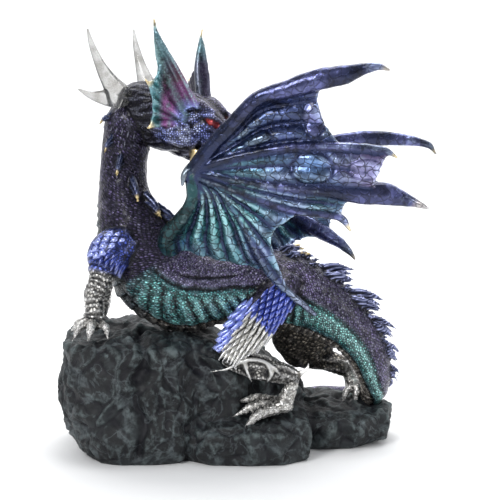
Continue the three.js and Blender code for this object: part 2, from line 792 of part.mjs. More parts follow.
const TOES = [...LEFT_HAND, ...RIGHT_HAND, ...LEFT_FOOT, ...RIGHT_FOOT];
const LEFT_LEGS = [LEFT_FORELEG, LEFT_THIGH, LEFT_SHIN, LEFT_HEEL];
const RIGHT_LEGS = [RIGHT_FORELEG, RIGHT_THIGH, RIGHT_SHIN, RIGHT_HEEL];
const LEGS = [...LEFT_LEGS, ...RIGHT_LEGS];

function dragonSolid() {
  const whole = joined([
    limbSolid(SPINE, SPINE_FACETS),
    ...backSpikes(),
    ...flankRibs(),
    ...LEGS.map((leg) => limbSolid(leg, LEG_FACETS)),
    ...TOES.map((bone) => limbSolid(bone, TOE_FACETS)),
    ...feathers(LEFT_THIGH, 0),
    ...feathers(RIGHT_THIGH, -Math.PI / 2),
    limbSolid(HOCK_SPUR, SPUR_FACETS),
    ...leftWing(),
    ...rightWing(),
    limbSolid(SKULL, SKULL_FACETS),
    limbSolid(JAW, JAW_FACETS),
    ...headSides(),
    ...FRILLS.map(frill),
  ]);
  const sockets = [RIGHT_HORN, LEFT_HORN].map(({ root, lean }) => horn(root, lean, GAP));
  return soundBody(sockets.reduce((rest, socket) => rest.subtract(socket), whole), FINEST);
}

// The rock is cut to the feet, belly and tail that rest in it, with a hair's gap all round.
function rockSolid() {
  const beds = [
    limbSolid(SPINE.grown(GAP), SPINE_FACETS),
    ...LEGS.map((leg) => limbSolid(leg.grown(GAP), LEG_FACETS)),
    ...TOES.map((bone) => limbSolid(bone.grown(GAP), TOE_FACETS)),
  ];
  const rock = rockMass().simplify(FINEST);
  const finestCut = GAP / 4; // well under the gap, so that merging facets never closes it
  return soundBody(beds.reduce((rest, bed) => rest.subtract(bed), rock), finestCut);
}

function paint(color, roughness, metalness, opacity = 1) {
  return new THREE.MeshStandardMaterial({ color, roughness, metalness, opacity, transparent: opacity < 1 });
}

function piece(name, solid, material) {
  const { vertProperties, triVerts } = solid.getMesh();
  const geometry = new THREE.BufferGeometry();
  geometry.setAttribute("position", new THREE.BufferAttribute(vertProperties, 3));
  geometry.setIndex(new THREE.BufferAttribute(triVerts, 1));
  geometry.computeVertexNormals();
  const mesh = new THREE.Mesh(geometry, material);
  mesh.name = name;
  return mesh;
}

const statue = new THREE.Group();
statue.add(piece("rock_base", rockSolid(), paint(0x2b3136, 0.85, 0)));
statue.add(piece("dragon", dragonSolid(), paint(0x4a4778, 0.35, 0.6)));
statue.add(piece("right_horn", horn(RIGHT_HORN.root, RIGHT_HORN.lean), paint(0xd9d8cf, 0.15, 0, 0.6)));
statue.add(piece("left_horn", horn(LEFT_HORN.root, LEFT_HORN.lean), paint(0xd9d8cf, 0.15, 0, 0.6)));

export default statue;
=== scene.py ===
# %% [markdown]
# # A painted dragon on its rock
# The real object is a small cast-resin statue. A dragon sits on a craggy rock, looks back over its shoulder
# and raises its wings, and two clear horns are glued into its head. The caster models every scale and fold in
# clay, moulds it, and a painter brushes pearl paint over it, washes the hollows dark and dry-brushes the high
# points. This lesson follows the same order: clay, casting, relief, paint.

# %% Load the frame
import math

import bmesh
import bpy
import numpy as np
from mathutils import Matrix, Vector, kdtree, noise


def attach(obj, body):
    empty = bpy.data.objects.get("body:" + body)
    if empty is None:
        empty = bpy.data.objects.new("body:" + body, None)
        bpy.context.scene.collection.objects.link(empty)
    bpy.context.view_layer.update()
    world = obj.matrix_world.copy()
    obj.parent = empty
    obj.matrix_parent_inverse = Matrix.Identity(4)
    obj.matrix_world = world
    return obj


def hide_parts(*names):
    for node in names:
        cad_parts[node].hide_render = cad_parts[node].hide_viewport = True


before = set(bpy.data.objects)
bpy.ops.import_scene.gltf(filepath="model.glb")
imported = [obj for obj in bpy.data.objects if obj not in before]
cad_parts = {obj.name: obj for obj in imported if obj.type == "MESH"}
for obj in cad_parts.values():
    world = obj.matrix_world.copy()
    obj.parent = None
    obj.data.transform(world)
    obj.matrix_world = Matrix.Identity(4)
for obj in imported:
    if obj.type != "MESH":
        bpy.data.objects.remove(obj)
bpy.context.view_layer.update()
MM = 0.001

# %% [markdown]
# ## The studio
# A statue is shown on a pale sweep: a floor that curves up into a wall, so no line shows behind it. The
# camera stands back with a long lens, a little above the statue's middle, which keeps the sizes true. Pearl
# paint needs something to mirror, so a large soft light stands at the front left, a long weak one on the
# right and a broad one above. A narrow one behind edges the wings, and one more keeps the wall white. Small
# hard lamps would leave a bright spot on every scale.

# %% Scene
scene = bpy.context.scene


def show(name, data):
    """A new object in the scene."""
    thing = bpy.data.objects.new(name, data)
    scene.collection.objects.link(thing)
    return thing


def mesh_from(bm, name):
    """The mesh that some modelling has made."""
    mesh = bpy.data.meshes.new(name)
    bm.to_mesh(mesh)
    bm.free()
    return mesh


# %% Camera
TARGET = Vector((0, 0, 0.110))
DISTANCE = 0.9
ELEVATION = math.radians(9)
SENSOR = 36
FIELD = 0.275  # metres seen across the frame at the target
camera_data = bpy.data.cameras.new("camera")
camera_data.sensor_width = SENSOR
camera_data.lens = SENSOR * DISTANCE / FIELD
camera = show("camera", camera_data)
camera.location = TARGET + DISTANCE * Vector((0, -math.cos(ELEVATION), math.sin(ELEVATION)))
camera.rotation_euler = (math.pi / 2 - ELEVATION, 0, 0)
scene.camera = camera
scene.view_settings.view_transform = "Standard"
print("the lens is", round(camera_data.lens, 1), "mm")


# %% Lights
def soft_light(name, place, size, power, aim):
    """An area light that looks at its aim."""
    data = bpy.data.lights.new(name, "AREA")
    data.shape = "RECTANGLE"
    data.size, data.size_y = size
    data.energy = power
    light = show(name, data)
    light.location = place
    light.rotation_euler = (Vector(aim) - Vector(place)).to_track_quat("-Z", "Y").to_euler()


LIGHTS = [  # name, place, size, watts, aim
    ("key", (-0.55, -0.85, 0.75), (0.45, 0.45), 7, TARGET),
    ("fill", (0.9, -0.6, 0.35), (0.25, 0.7), 2.5, TARGET),
    ("top", (0.1, 0.15, 1.1), (0.7, 0.5), 5, TARGET),
    ("rim", (0, 0.55, 0.75), (1.6, 0.2), 4, TARGET),
    ("wall", (0, 0.45, 0.9), (1.8, 0.2), 8, (0, 1.3, 0.1)),
]
for light in LIGHTS:
    soft_light(*light)
scene.world = bpy.data.worlds.new("studio")
scene.world.use_nodes = True
sky = scene.world.node_tree.nodes["Background"].inputs
sky["Color"].default_value = (0.92, 0.95, 1, 1)
sky["Strength"].default_value = 0.42
print(len(LIGHTS), "lights shine", sum(light[3] for light in LIGHTS), "W in all")

# %% The sweep
SWEEP_HALF, SWEEP_BEND, SWEEP_START = 2.4, 0.45, 0.8  # metres
bm = bmesh.new()
bmesh.ops.create_grid(bm, x_segments=2, y_segments=60, size=SWEEP_HALF)
for vert in bm.verts:
    past = vert.co.y - SWEEP_START
    if past > 0:
        turn = min(past / SWEEP_BEND, math.pi / 2)
        rest = max(past - SWEEP_BEND * math.pi / 2, 0)
        vert.co.y = SWEEP_START + SWEEP_BEND * math.sin(turn)
        vert.co.z = SWEEP_BEND * (1 - math.cos(turn)) + rest
sweep_mesh = mesh_from(bm, "sweep")
sweep_mesh.shade_smooth()
white = bpy.data.materials.new("sweep_white")
white.use_nodes = True
wall_paint = white.node_tree.nodes["Principled BSDF"].inputs
wall_paint["Base Color"].default_value = (0.93, 0.93, 0.93, 1)
wall_paint["Roughness"].default_value = 0.9
sweep_mesh.materials.append(white)
sweep = show("sweep", sweep_mesh)
print("the sweep is", 2 * SWEEP_HALF, "m wide")

# %% [markdown]
# ## Clay limbs
# Every limb is a round bar that swells, thins and bends: a neck, a toe, a wing's finger. So one description
# serves them all: stations of a place, a half width and a half depth, in millimetres, joined by a smooth
# curve. A curve object with a bevel could do it, but its section stays round. A grid rolled round the curve
# can be deeper than it is wide.


# %% Smooth curves
def curve(rows, t):
    """Places on the smooth curve through rows, at shares t of its stations (centripetal Catmull-Rom)."""
    rows = np.asarray(rows, float)
    t = np.atleast_1d(t)
    place = np.clip(t, 0, 1) * (len(rows) - 1)
    index = np.minimum(place.astype(int), len(rows) - 2)
    share = (place - index)[:, None]
    padded = np.vstack([2 * rows[0] - rows[1], rows, 2 * rows[-1] - rows[-2]])
    p0, p1, p2, p3 = (padded[index + k] for k in range(4))
    d0, d1, d2 = (np.linalg.norm(b - a, axis=1)[:, None] ** 0.5 for a, b in ((p0, p1), (p1, p2), (p2, p3)))
    d1 = np.where(d1 < 1e-4, 1, d1)
    d0 = np.where(d0 < 1e-4, d1, d0)
    d2 = np.where(d2 < 1e-4, d1, d2)
    m1 = ((p1 - p0) / d0 - (p2 - p0) / (d0 + d1) + (p2 - p1) / d1) * d1
    m2 = ((p2 - p1) / d1 - (p3 - p1) / (d1 + d2) + (p3 - p2) / d2) * d1
    turn = -3 * p1 + 3 * p2 - 2 * m1 - m2
    twist = 2 * p1 - 2 * p2 + m1 + m2
    return p1 + m1 * share + turn * share**2 + twist * share**3


def unit(rows):
    return rows / np.maximum(np.linalg.norm(rows, axis=-1, keepdims=True), 1e-9)


class Limb:
    """Stations of x, y, z, half width and half depth in millimetres. Round ones give one half size."""

    def __init__(self, stations, backs=(0, 0, 1)):
        rows = np.array([(*row[:3], row[3], row[-1]) for row in stations], float)
        self.path, self.girth = rows[:, :3], rows[:, 3:]
        self.backs = np.array(backs, float) if np.ndim(backs) > 1 else np.array([backs, backs], float)

    def frames(self, t):
        t = np.atleast_1d(t)
        along = unit(curve(self.path, np.minimum(t + 1e-3, 1)) - curve(self.path, np.maximum(t - 1e-3, 0)))
        back = curve(self.backs, t)
        back = unit(back - along * np.sum(back * along, axis=1, keepdims=True))
        girth = np.maximum(curve(self.girth, t), 0.25)
        return curve(self.path, t), along, back, np.cross(along, back), girth

    def skin(self, t, turn, share=1.0):
        """Places on the skin at an angle turned from the back, or at a share of the way out to it."""
        centre, _, back, side, girth = self.frames(t)
        across = side * (np.sin(turn) * girth[:, 0])[:, None] + back * (np.cos(turn) * girth[:, 1])[:, None]
        return centre + across * np.reshape(share, (-1, 1))

    def outward(self, t, turn):
        """The directions along the limb and straight out of its skin, at one share and angle."""
        _, along, back, side, _ = (row[0] for row in self.frames(t))
        return along, side * math.sin(turn) + back * math.cos(turn)

    def find(self, places, t):
        """The shares and angles of places near the limb, from first guesses of the shares."""
        for _ in range(3):
            centre, along, _, _, _ = self.frames(t)
            speed = np.linalg.norm(curve(self.path, t + 1e-3) - curve(self.path, t - 1e-3), axis=1) / 2e-3
            t = np.clip(t + np.sum((places - centre) * along, axis=1) / np.maximum(speed, 1), 0.001, 0.999)
        centre, _, back, side, girth = self.frames(t)
        out = places - centre
        turn = np.arctan2(np.sum(out * side, axis=1) / girth[:, 0], np.sum(out * back, axis=1) / girth[:, 1])
        return t, turn


def toe(start, knuckle, tip, radius):
    """A toe that ends in a hooked claw."""
    bend = tuple(np.array(knuckle) + (np.array(tip) - np.array(knuckle)) * 0.45)
    return Limb([(*start, radius * 1.1), (*knuckle, radius), (*bend, radius * 0.62), (*tip, 0.25)])


HEAD_POSE = Matrix.Translation((-32, -7, 181)) @ Matrix.Rotation(math.radians(-22), 4, "Z")


def head_limb(stations, back=(0, 0, 1)):
    """A limb given in the head's own frame, with +X toward the snout."""
    posed = [(*(HEAD_POSE @ Vector(row[:3])), *row[3:]) for row in stations]
    return Limb(posed, tuple(HEAD_POSE.to_3x3() @ Vector(back)))


# %% [markdown]
# ## The pose
# These stations are the statue's pose, the same that the frame's solids have. The spine runs from the skull
# down the neck, along the trunk and down the tail to its tip behind the rock. The head has a frame of its
# own.

# %% Stations
SPINE = Limb([
    (-60, 4, 191, 8), (-66, 5, 180, 13.5, 12.5), (-68, 4, 165, 13, 12.5), (-69.5, 2, 149, 13),
    (-68, 1, 135, 15, 16.5), (-64, 0, 121, 18, 21), (-56, 0, 107, 21, 25), (-49, 0, 98, 23, 27),
    (-36, 0, 91, 23, 27), (-20, 0, 90, 22), (-2, 0, 91, 19), (18, 0, 88.5, 18, 21), (36.5, 0, 80, 16, 18.5),
    (52, -1, 69, 13, 14.5), (63, 0, 56, 10.5, 12), (69.5, 5, 40, 8.8, 9.5), (70, 16, 27, 7.6),
    (64, 31, 19, 6.8), (46, 43, 17, 5.8), (24, 48, 15, 4.6), (2, 46, 14, 3.2), (-16, 41, 15, 0.6),
], [
    (-1, 0.1, 0.3), (-0.9, -0.5, 0), (-0.4, -0.9, 0), (0.4, -0.9, 0), (0.85, -0.5, 0.1), (0.95, -0.2, 0.3),
    (0.75, 0, 0.65), (0.5, 0, 0.85), (0.15, 0, 1), (0, 0, 1), (0, 0, 1), (0.2, 0, 1), (0.45, 0, 0.9),
    (0.7, 0, 0.7), (0.85, 0, 0.5), (0.95, 0, 0.3), (0.7, 0.5, 0.5), (0.3, 0.6, 0.75), (0.1, 0.5, 0.85),
    (0, 0.4, 0.9), (0, 0.4, 0.9), (0, 0.4, 0.9),
])
LEFT_FORELEG = Limb([
    (-65, -12, 118, 9), (-75.5, -16, 111, 12, 10.5), (-79.5, -19, 102, 8), (-81, -21, 96, 6),
    (-84, -23, 89, 5.6, 5.8), (-83.5, -24.5, 82, 4.8, 5.2), (-84, -25, 76, 4.8, 5), (-86, -26, 71, 4, 4.5),
], (-0.3, -1, 0))
RIGHT_FORELEG = Limb([
    (-60, 12, 116, 9), (-70, 17, 108, 9), (-77, 20, 99, 6.5, 7.5), (-81, 22, 91, 5, 6), (-83, 24, 83, 4.4, 5),
    (-84, 25, 76, 4.4, 5), (-85, 26, 70, 4, 4.5),
], (-0.3, 1, 0))
LEFT_THIGH = Limb([
    (20, -6, 95, 9, 13), (14, -12, 87, 11, 15), (5, -18, 76, 11.5, 14), (-4, -23, 66, 9.5, 11),
    (-10, -26, 59, 6.5, 7.5), (-12, -27, 54, 4, 4.5),
], (0.7, -0.3, 0.7))
LEFT_SHIN = Limb([
    (-13, -26.5, 57, 4.5, 5), (-6, -27, 54, 5, 6.5), (5, -28, 50.5, 4.8, 7), (15, -28.5, 48, 4.2, 5.6),
    (22, -29, 46, 4, 4.6), (25, -29, 43, 3, 3.4),
])
LEFT_HEEL = Limb([
    (23, -29, 47, 4), (22.5, -29, 41, 3.6, 3.8), (20, -29.5, 35, 4.2, 4.4), (18, -30, 29.5, 5.4, 5.6),
    (17, -30, 26, 3),
], (1, 0, 0))
HOCK_SPUR = Limb([
    (20, -29, 46, 2), (27, -29.5, 47.5, 1.5), (31, -30, 50.5, 1.1), (31.5, -30, 54, 0.4),
])
SHIN_RIBS = [
    Limb([
        (-22, -31, 48.6, 0.4), (-12, -32, 50.5, 0.9), (-2.5, -32.6, 55.3, 1), (6.6, -33, 55, 1),
        (14, -32.6, 50, 0.9), (18.2, -32, 43.6, 0.5),
    ], (0, -1, 0)),
    Limb([(-3, -32.4, 55.3, 0.9), (-1.5, -33.3, 49, 1), (1, -32, 43, 0.5)], (0, -1, 0)),
    Limb([(9, -33, 54, 0.8), (11.5, -33.4, 48, 0.9), (9, -32, 42.5, 0.4)], (0, -1, 0)),
]
RIGHT_THIGH = Limb([
    (22, 8, 88, 9, 13), (27, 14, 75, 10, 17), (30, 19, 62, 9.5, 19), (32, 24, 51, 8, 17.5),
    (32, 26, 43, 6, 13), (32, 27, 38.5, 3, 7),
], (1, 0.2, 0))
RIGHT_SHIN = Limb([
    (24, 27, 44, 5), (36, 27, 43, 5.5, 6), (46, 27, 41, 5, 5.6), (54, 26, 38, 4.4, 5), (58, 25, 35, 3.4, 3.8),
])
RIGHT_HEEL = Limb([
    (54, 26, 42, 4), (57, 25, 34, 3.6, 3.8), (59, 24, 28, 4.4, 4.6), (60, 24, 24.5, 4.2),
], (1, 0, 0))
LEFT_HAND = [
    toe((-85, -26, 75), (-92, -26, 74.5), (-98, -25, 68), 2.5),
    toe((-86, -28, 75), (-91, -32, 74), (-95, -36, 66), 2.5),
    toe((-84, -29, 75), (-85, -36, 73), (-86, -40.5, 65), 2.5),
    toe((-81, -27, 74), (-77, -32, 73), (-75, -37, 66), 2.3),
]
RIGHT_HAND = [
    toe((-85, 26, 73), (-91, 25, 71.5), (-97, 24, 64), 2.4),
    toe((-85, 28, 73), (-90, 32, 71), (-95, 35, 63), 2.4),
    toe((-83, 29, 73), (-83, 36, 70.5), (-84, 41, 63), 2.4),
]
LEFT_FOOT = [
    toe((17, -27, 31), (3, -25, 32.5), (-9, -24, 30), 3),
    toe((17, -30, 30), (2, -30.5, 29.5), (-12, -33, 23), 3),
    toe((16, -32, 29), (4, -35, 25.5), (-5, -38, 17), 3),
]
RIGHT_FOOT = [
    toe((58, 22, 27), (55, 17, 26.5), (52, 13, 19), 2.4),
    toe((60, 21, 27), (60, 15, 26), (59, 10, 18.5), 2.4),
    toe((62, 22, 27), (66, 17, 25.5), (68, 13, 18.5), 2.4),
]
LEFT_WRIST = (-31, -38, 157, 4)
LEFT_WING = {
    "arm": Limb([
        (-44, -10, 108, 8), (-43, -19, 121, 6), (-36, -27, 131, 4.4), (-30, -34, 143, 3.6), LEFT_WRIST,
    ], (-1, 0, 0)),
    "lead": Limb([
        LEFT_WRIST, (-20, -40, 171, 4.2), (-9, -43, 182.5, 4.2), (4, -47, 196, 4), (18, -50, 201, 4.2, 4.6),
        (36, -53, 206.5, 4, 5.6), (47, -54, 208.5, 3.8, 5.2), (57, -55, 211.5, 2.8, 3.2),
        (65, -57, 213, 1.8, 2), (71, -58, 211, 0.5),
    ]),
    "second": Limb([
        (-30, -38, 158, 2.4), (-13, -42, 164, 2.3), (3, -45, 168, 2.2), (23, -48, 171.3, 2.2),
        (44, -50, 171.5, 2.4), (60, -52, 171, 2.4), (70, -53, 169.5, 1.8), (76, -53, 166, 0.5),
    ]),
    "third": Limb([
        (-30, -38, 157, 2.2), (-13, -41, 154.5, 2.2), (3, -43, 152, 2.3), (21, -45, 149.5, 2.6),
        (41, -46, 148.5, 3.4, 4), (58, -46, 147, 4.2, 5.8), (68, -46, 147, 4.2, 6.2), (80, -46, 144, 3.2, 4),
        (93, -45, 139, 0.6),
    ]),
    "fourth": Limb([
        (-30, -38, 156, 2.2), (-18, -40, 152, 2.2), (-5, -41, 147, 2.2), (10, -41, 141.5, 2.3),
        (26, -41, 137, 2.3), (39, -40, 135.5, 2.4), (48, -40, 133, 2.2), (53, -39, 126, 0.6),
    ]),
    "whip": Limb([
        (-30, -38, 156, 2.2), (-16, -39, 149, 2.4), (-8, -37, 138, 2.8), (-1, -34, 126, 3.2),
        (4, -31, 115, 3.4), (12, -27, 101, 3), (20, -24, 91, 2.4), (28, -21.5, 84, 2), (36, -18.5, 77, 1.1),
    ]),
    "thumb": Limb([
        (-30, -38, 160, 3), (-34, -40, 156, 2.2), (-35.5, -41.5, 150, 0.5),
    ], (-1, 0, 0)),
}
RIGHT_WRIST = (-14, 42, 153, 4)
RIGHT_WING = {
    "arm": Limb([
        (-42, 10, 108, 8), (-38, 19, 121, 6), (-30, 28, 131, 4.4), (-20, 36, 143, 3.6), RIGHT_WRIST,
    ], (-1, 0, 0)),
    "lead": Limb([
        RIGHT_WRIST, (4, 46, 158, 4), (29, 49, 162, 3.8), (48, 50, 165, 3.6, 4), (67, 50, 167, 3.4, 4.6),
        (90, 50, 166, 2.8, 3.4), (103, 49, 163, 1.8, 2), (107, 48, 158, 0.5),
    ]),
    "second": Limb([
        (-12, 42, 152, 2.4), (20, 46, 151, 2.3), (52, 48, 147, 2.6, 3), (70, 49, 141, 2.4, 3),
        (86, 50, 133, 0.5),
    ]),
    "third": Limb([
        (-12, 42, 151, 2.3), (8, 39, 136, 2.4), (26, 34, 123.5, 3, 4.4), (40, 31, 116, 3.2, 4.6),
        (53, 28, 108, 2.4, 2.8), (60, 26, 100, 0.6),
    ]),
    "whip": Limb([
        (-13, 41, 151, 2.3), (-4, 38, 138, 2.8), (5, 34, 125, 3.2), (13, 29, 112, 3.2), (22, 23, 98, 2.6),
        (31, 17, 88, 1.6), (38, 14, 78, 0.5),
    ]),
    "thumb": Limb([
        (-13, 42, 156, 3), (-18, 44, 153, 2.2), (-20, 45.5, 147, 0.5),
    ], (-1, 0, 0)),
}
SKULL = head_limb([
    (-41, 0, 8, 5), (-35, 0, 10, 10, 9.5), (-26, 0, 8, 13, 13.5), (-13, 0, 3, 14.5, 16),
    (-1, 0, -1, 14, 16.5), (9, 0, -4, 12, 13), (18, 0, -10, 8.6, 8.5), (28, 0, -17, 6.6, 5.6),
    (37, 0, -24, 5.4, 4.2), (41, 0, -28, 3, 2.4),
])
JAW = head_limb([
    (-24, 0, -5, 8), (-7, 0, -11, 9.5, 7), (8, 0, -18, 6.6, 4.6), (20, 0, -26, 4.8, 3),
    (31, 0, -34, 3.6, 2.2), (35, 0, -36, 1.6, 1.2),
])

FRILLS = [  # root, the rays' tips, the front edge's swell, the tall ray's bend and how far its skin reaches
    ((3, -12, 2), [(-11.5, -21, 56), (-15, -25, 24), (-15, -24, -2)], 7, 4.5, (0.96, 0.91)),
    ((3, 12, 2), [(-4, 25, 49), (-13, 27, 22), (-15, 25, -2)], 3, 2.5, (0.88, 0.86)),
]
print("the spine has", len(SPINE.path), "stations")

# %% [markdown]
# ## Tubes and skins
# A tube starts as a grid that is rolled round its limb and closed at both ends. A skin between two rays is
# the same grid rolled flat: down its front, round the edge and up its back. Each remembers which part of the
# animal it is, because the casting joins them all and the painter has to know them again.


# %% Lumps of clay
class Clay:
    """Overlapping closed shells, with samples of their skins that remember their lump and their share."""

    def __init__(self):
        self.bm = bmesh.new()
        self.limbs, self.parts = [], []
        self.places, self.lumps, self.shares = [], [], []

    def roll(self, columns, rows, place, shares, part, limb=None):
        """Adds a grid, moves each corner to place(u, v) and closes the tube that it makes."""
        grid = bmesh.ops.create_grid(self.bm, x_segments=columns, y_segments=rows, size=0.5)["verts"]
        u = np.array([vert.co.x for vert in grid]) + 0.5
        v = np.array([vert.co.y for vert in grid]) + 0.5
        places = place(u, v)
        for vert, spot in zip(grid, places * MM):
            vert.co = spot
        self.places.append(places)
        self.lumps.append(np.full(len(grid), len(self.parts)))
        self.shares.append(shares(u, v))
        self.parts.append(part)
        self.limbs.append(limb)
        bmesh.ops.remove_doubles(self.bm, verts=grid, dist=1e-7)
        rim = {edge for vert in grid if vert.is_valid for edge in vert.link_edges if edge.is_boundary}
        bmesh.ops.holes_fill(self.bm, edges=list(rim), sides=0)

    def tube(self, limb, part, sides, steps):
        self.roll(steps, sides, lambda u, v: limb.skin(u, 2 * math.pi * v), lambda u, v: u, part, limb)

    def web(self, ray_a, ray_b, part, reach, bow, sag, thickness, grid, fold, outside):
        """A skin between two rays. Its free edge bows inward, it sags, and fold(u, s) folds it outward."""
        outward, across = grid

        def flat(u, s):
            out = 0.05 + 0.95 * u * (1 - bow * 4 * s * (1 - s))
            near, far = curve(ray_a.path, out * reach[0]), curve(ray_b.path, out * reach[1])
            return near + (far - near) * s[:, None]

        def share_of(v):
            """The share of the way across, and 1 on the front or -1 on the back."""
            step = np.round(v * (2 * across + 2))
            front = (step <= across) | (step > 2 * across + 1.5)
            s = np.where(step <= across, step, 2 * across + 1 - step) / across
            return np.clip(s, 0, 1), np.where(front, 1.0, -1.0)

        def place(u, v):
            s, side = share_of(v)
            out = flat(u + 0.01, s) - flat(u - 0.01, s)
            facing = unit(np.cross(out, flat(u, s + 0.01) - flat(u, s - 0.01)))
            rise = sag * np.sin(math.pi * s) * u + fold(u, s) * np.sign(facing[:, 1] * outside)
            return flat(u, s) + facing * (rise + side * thickness / 2)[:, None]

        self.roll(outward, 2 * across + 2, place, lambda u, v: share_of(v)[0], part)

    def cast(self, name, voxel, smoothing=3):
        """Joins the shells into one skin of small even faces."""
        bmesh.ops.recalc_face_normals(self.bm, faces=self.bm.faces)
        return Skin(recast(name, mesh_from(self.bm, name), voxel, smoothing), self)


def recast(name, mesh, voxel, smoothing):
    """A new piece: the mesh made again in even faces of a size in millimetres, and smoothed."""
    lump = show(name, mesh)
    remesh = lump.modifiers.new("remesh", "REMESH")
    remesh.mode = "VOXEL"
    remesh.voxel_size = voxel * MM
    smooth = lump.modifiers.new("smooth", "SMOOTH")
    smooth.factor, smooth.iterations = 0.5, smoothing
    bpy.context.view_layer.update()
    even = bpy.data.meshes.new_from_object(lump.evaluated_get(bpy.context.evaluated_depsgraph_get()))
    lump.modifiers.clear()
    lump.data = even
    even.name = name
    even.shade_smooth()
    print(name, "has", len(even.polygons), "faces")
    return lump


def read(items, name, width, kind=float):
    """One of the things that a mesh stores, in rows of a width."""
    flat = np.empty(len(items) * width, kind)
    items.foreach_get(name, flat)
    return flat.reshape(-1, width)


def corners_of(mesh):
    """A mesh's corners in millimetres."""
    return read(mesh.vertices, "co", 3) / MM


def spread(mesh, values, rounds):
    """Blurs values over a mesh: each round moves every corner's value toward its neighbours' mean."""
    ends = read(mesh.edges, "vertices", 2, int)
    count = np.bincount(ends.ravel(), minlength=len(mesh.vertices)).reshape(-1, *[1] * (values.ndim - 1))
    for _ in range(rounds):
        total = np.zeros_like(values, float)
        np.add.at(total, ends[:, 0], values[ends[:, 1]])
        np.add.at(total, ends[:, 1], values[ends[:, 0]])
        values = 0.5 * values + 0.5 * total / np.maximum(count, 1)
    return values


def push(mesh, corners, depth):
    """Moves each corner along its normal by a depth in millimetres."""
    moved = corners + read(mesh.vertices, "normal", 3) * depth[:, None]
    mesh.vertices.foreach_set("co", (moved * MM).ravel())
    mesh.update()
    return moved


def note(mesh, name, values):
    """Stores a value, or a colour, at every corner for the paint to read."""
    if values.ndim == 1:
        mesh.attributes.new(name, "FLOAT", "POINT").data.foreach_set("value", values.astype(np.float32))
    else:
        colour = np.ones((len(values), 4), np.float32)
        colour[:, :3] = np.clip(values, 0, 1)
        mesh.attributes.new(name, "FLOAT_COLOR", "POINT").data.foreach_set("color", colour.ravel())


def band(values, low, high, edge):
    """One between low and high, fading to nothing over an edge outside them."""
    return np.clip((values - low) / edge + 1, 0, 1) * np.clip((high - values) / edge + 1, 0, 1)


def relief_of(mesh, rounds):
    """How far each corner stands out of its near and far surroundings, in shares of a typical bump."""
    corners = corners_of(mesh)
    normals = read(mesh.vertices, "normal", 3)
    fine, wide = (np.sum((corners - spread(mesh, corners, count)) * normals, axis=1) for count in rounds)
    raised = fine / max(np.percentile(np.abs(fine), 90), 1e-6) + 1.2 * wide / np.percentile(np.abs(wide), 90)
    return np.clip(raised * 0.5, -1, 1)


# %% A skin that knows its parts
class Skin:
    """A cast piece. Each corner knows its part, and its share, angle, arc and girth on its limb."""

    def __init__(self, piece, clay):
        self.piece, self.mesh = piece, piece.data
        self.corners = corners_of(self.mesh)
        samples = np.vstack(clay.places)
        tree = kdtree.KDTree(len(samples))
        for index, spot in enumerate(samples):
            tree.insert(spot, index)
        tree.balance()
        nearest = np.array([tree.find(spot)[1] for spot in self.corners])
        self.lump = np.concatenate(clay.lumps)[nearest]
        self.part = np.array(clay.parts)[self.lump]
        self.share = np.concatenate(clay.shares)[nearest]
        self.turn, self.arc, self.girth = (np.zeros(len(nearest)) for _ in range(3))
        line = np.linspace(0, 1, 300)
        for number, limb in enumerate(clay.limbs):
            here = self.lump == number
            if limb is None or not here.any():
                continue
            self.share[here], self.turn[here] = limb.find(self.corners[here], self.share[here])
            steps = np.linalg.norm(np.diff(curve(limb.path, line), axis=0), axis=1)
            self.arc[here] = np.interp(self.share[here], line, np.concatenate([[0], np.cumsum(steps)]))
            self.girth[here] = limb.frames(self.share[here])[4].mean(axis=1)
        self.paint = np.zeros((len(nearest), 3))

    def on(self, *parts, rounds=3):
        """One on these parts, fading out over a few faces at their borders."""
        return spread(self.mesh, np.isin(self.part, parts).astype(float), rounds)

    def push(self, depth):
        """Moves each corner along its normal by a depth in millimetres."""
        self.corners = push(self.mesh, self.corners, depth)

    def brush(self, *coats):
        """Paints coats over what is there, each a strength at every corner and a colour."""
        for where, colour in coats:
            self.paint += (colour - self.paint) * np.clip(where, 0, 1)[:, None]

    def dry_brush_and_painted_light(self, slot, material, rounds, shade):
        """Stores the paint, the relief less a shade for wash, dry brush and painted light, and places the
        piece.
        """
        note(self.mesh, "paint", self.paint)
        note(self.mesh, "raised", relief_of(self.mesh, rounds) - shade)
        self.mesh.materials.append(material)
        stand_for(self.piece, slot, "dragon")


def stand_for(piece, slot, *nodes):
    """The piece stands for the frame's nodes and rides with them. The slot is not used."""
    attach(piece, "root")
    if nodes:
        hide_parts(*nodes)


def grain(places, size, octaves, seed=0):
    """Fractal noise at places in millimetres, about -1 to 1, in lumps of a size."""
    shift = Vector((7.3 * seed, 3.1 * seed, 0))
    stretch = np.asarray(places) / size
    return np.array([noise.fractal(Vector(spot) + shift, 1, 2, octaves) for spot in stretch])


FINE = 1.0  # coarser clay while trying things

# %% [markdown]
# ## The body's clay
# The trunk, legs, head and frills are lumps of their own. Each is labelled with its part: the labels tell the
# relief and the paint where the scales, ribs, plates and wrinkles go. A face has two sides, so its brow,
# cheek, tusk, eye and lids are given once and mirrored.

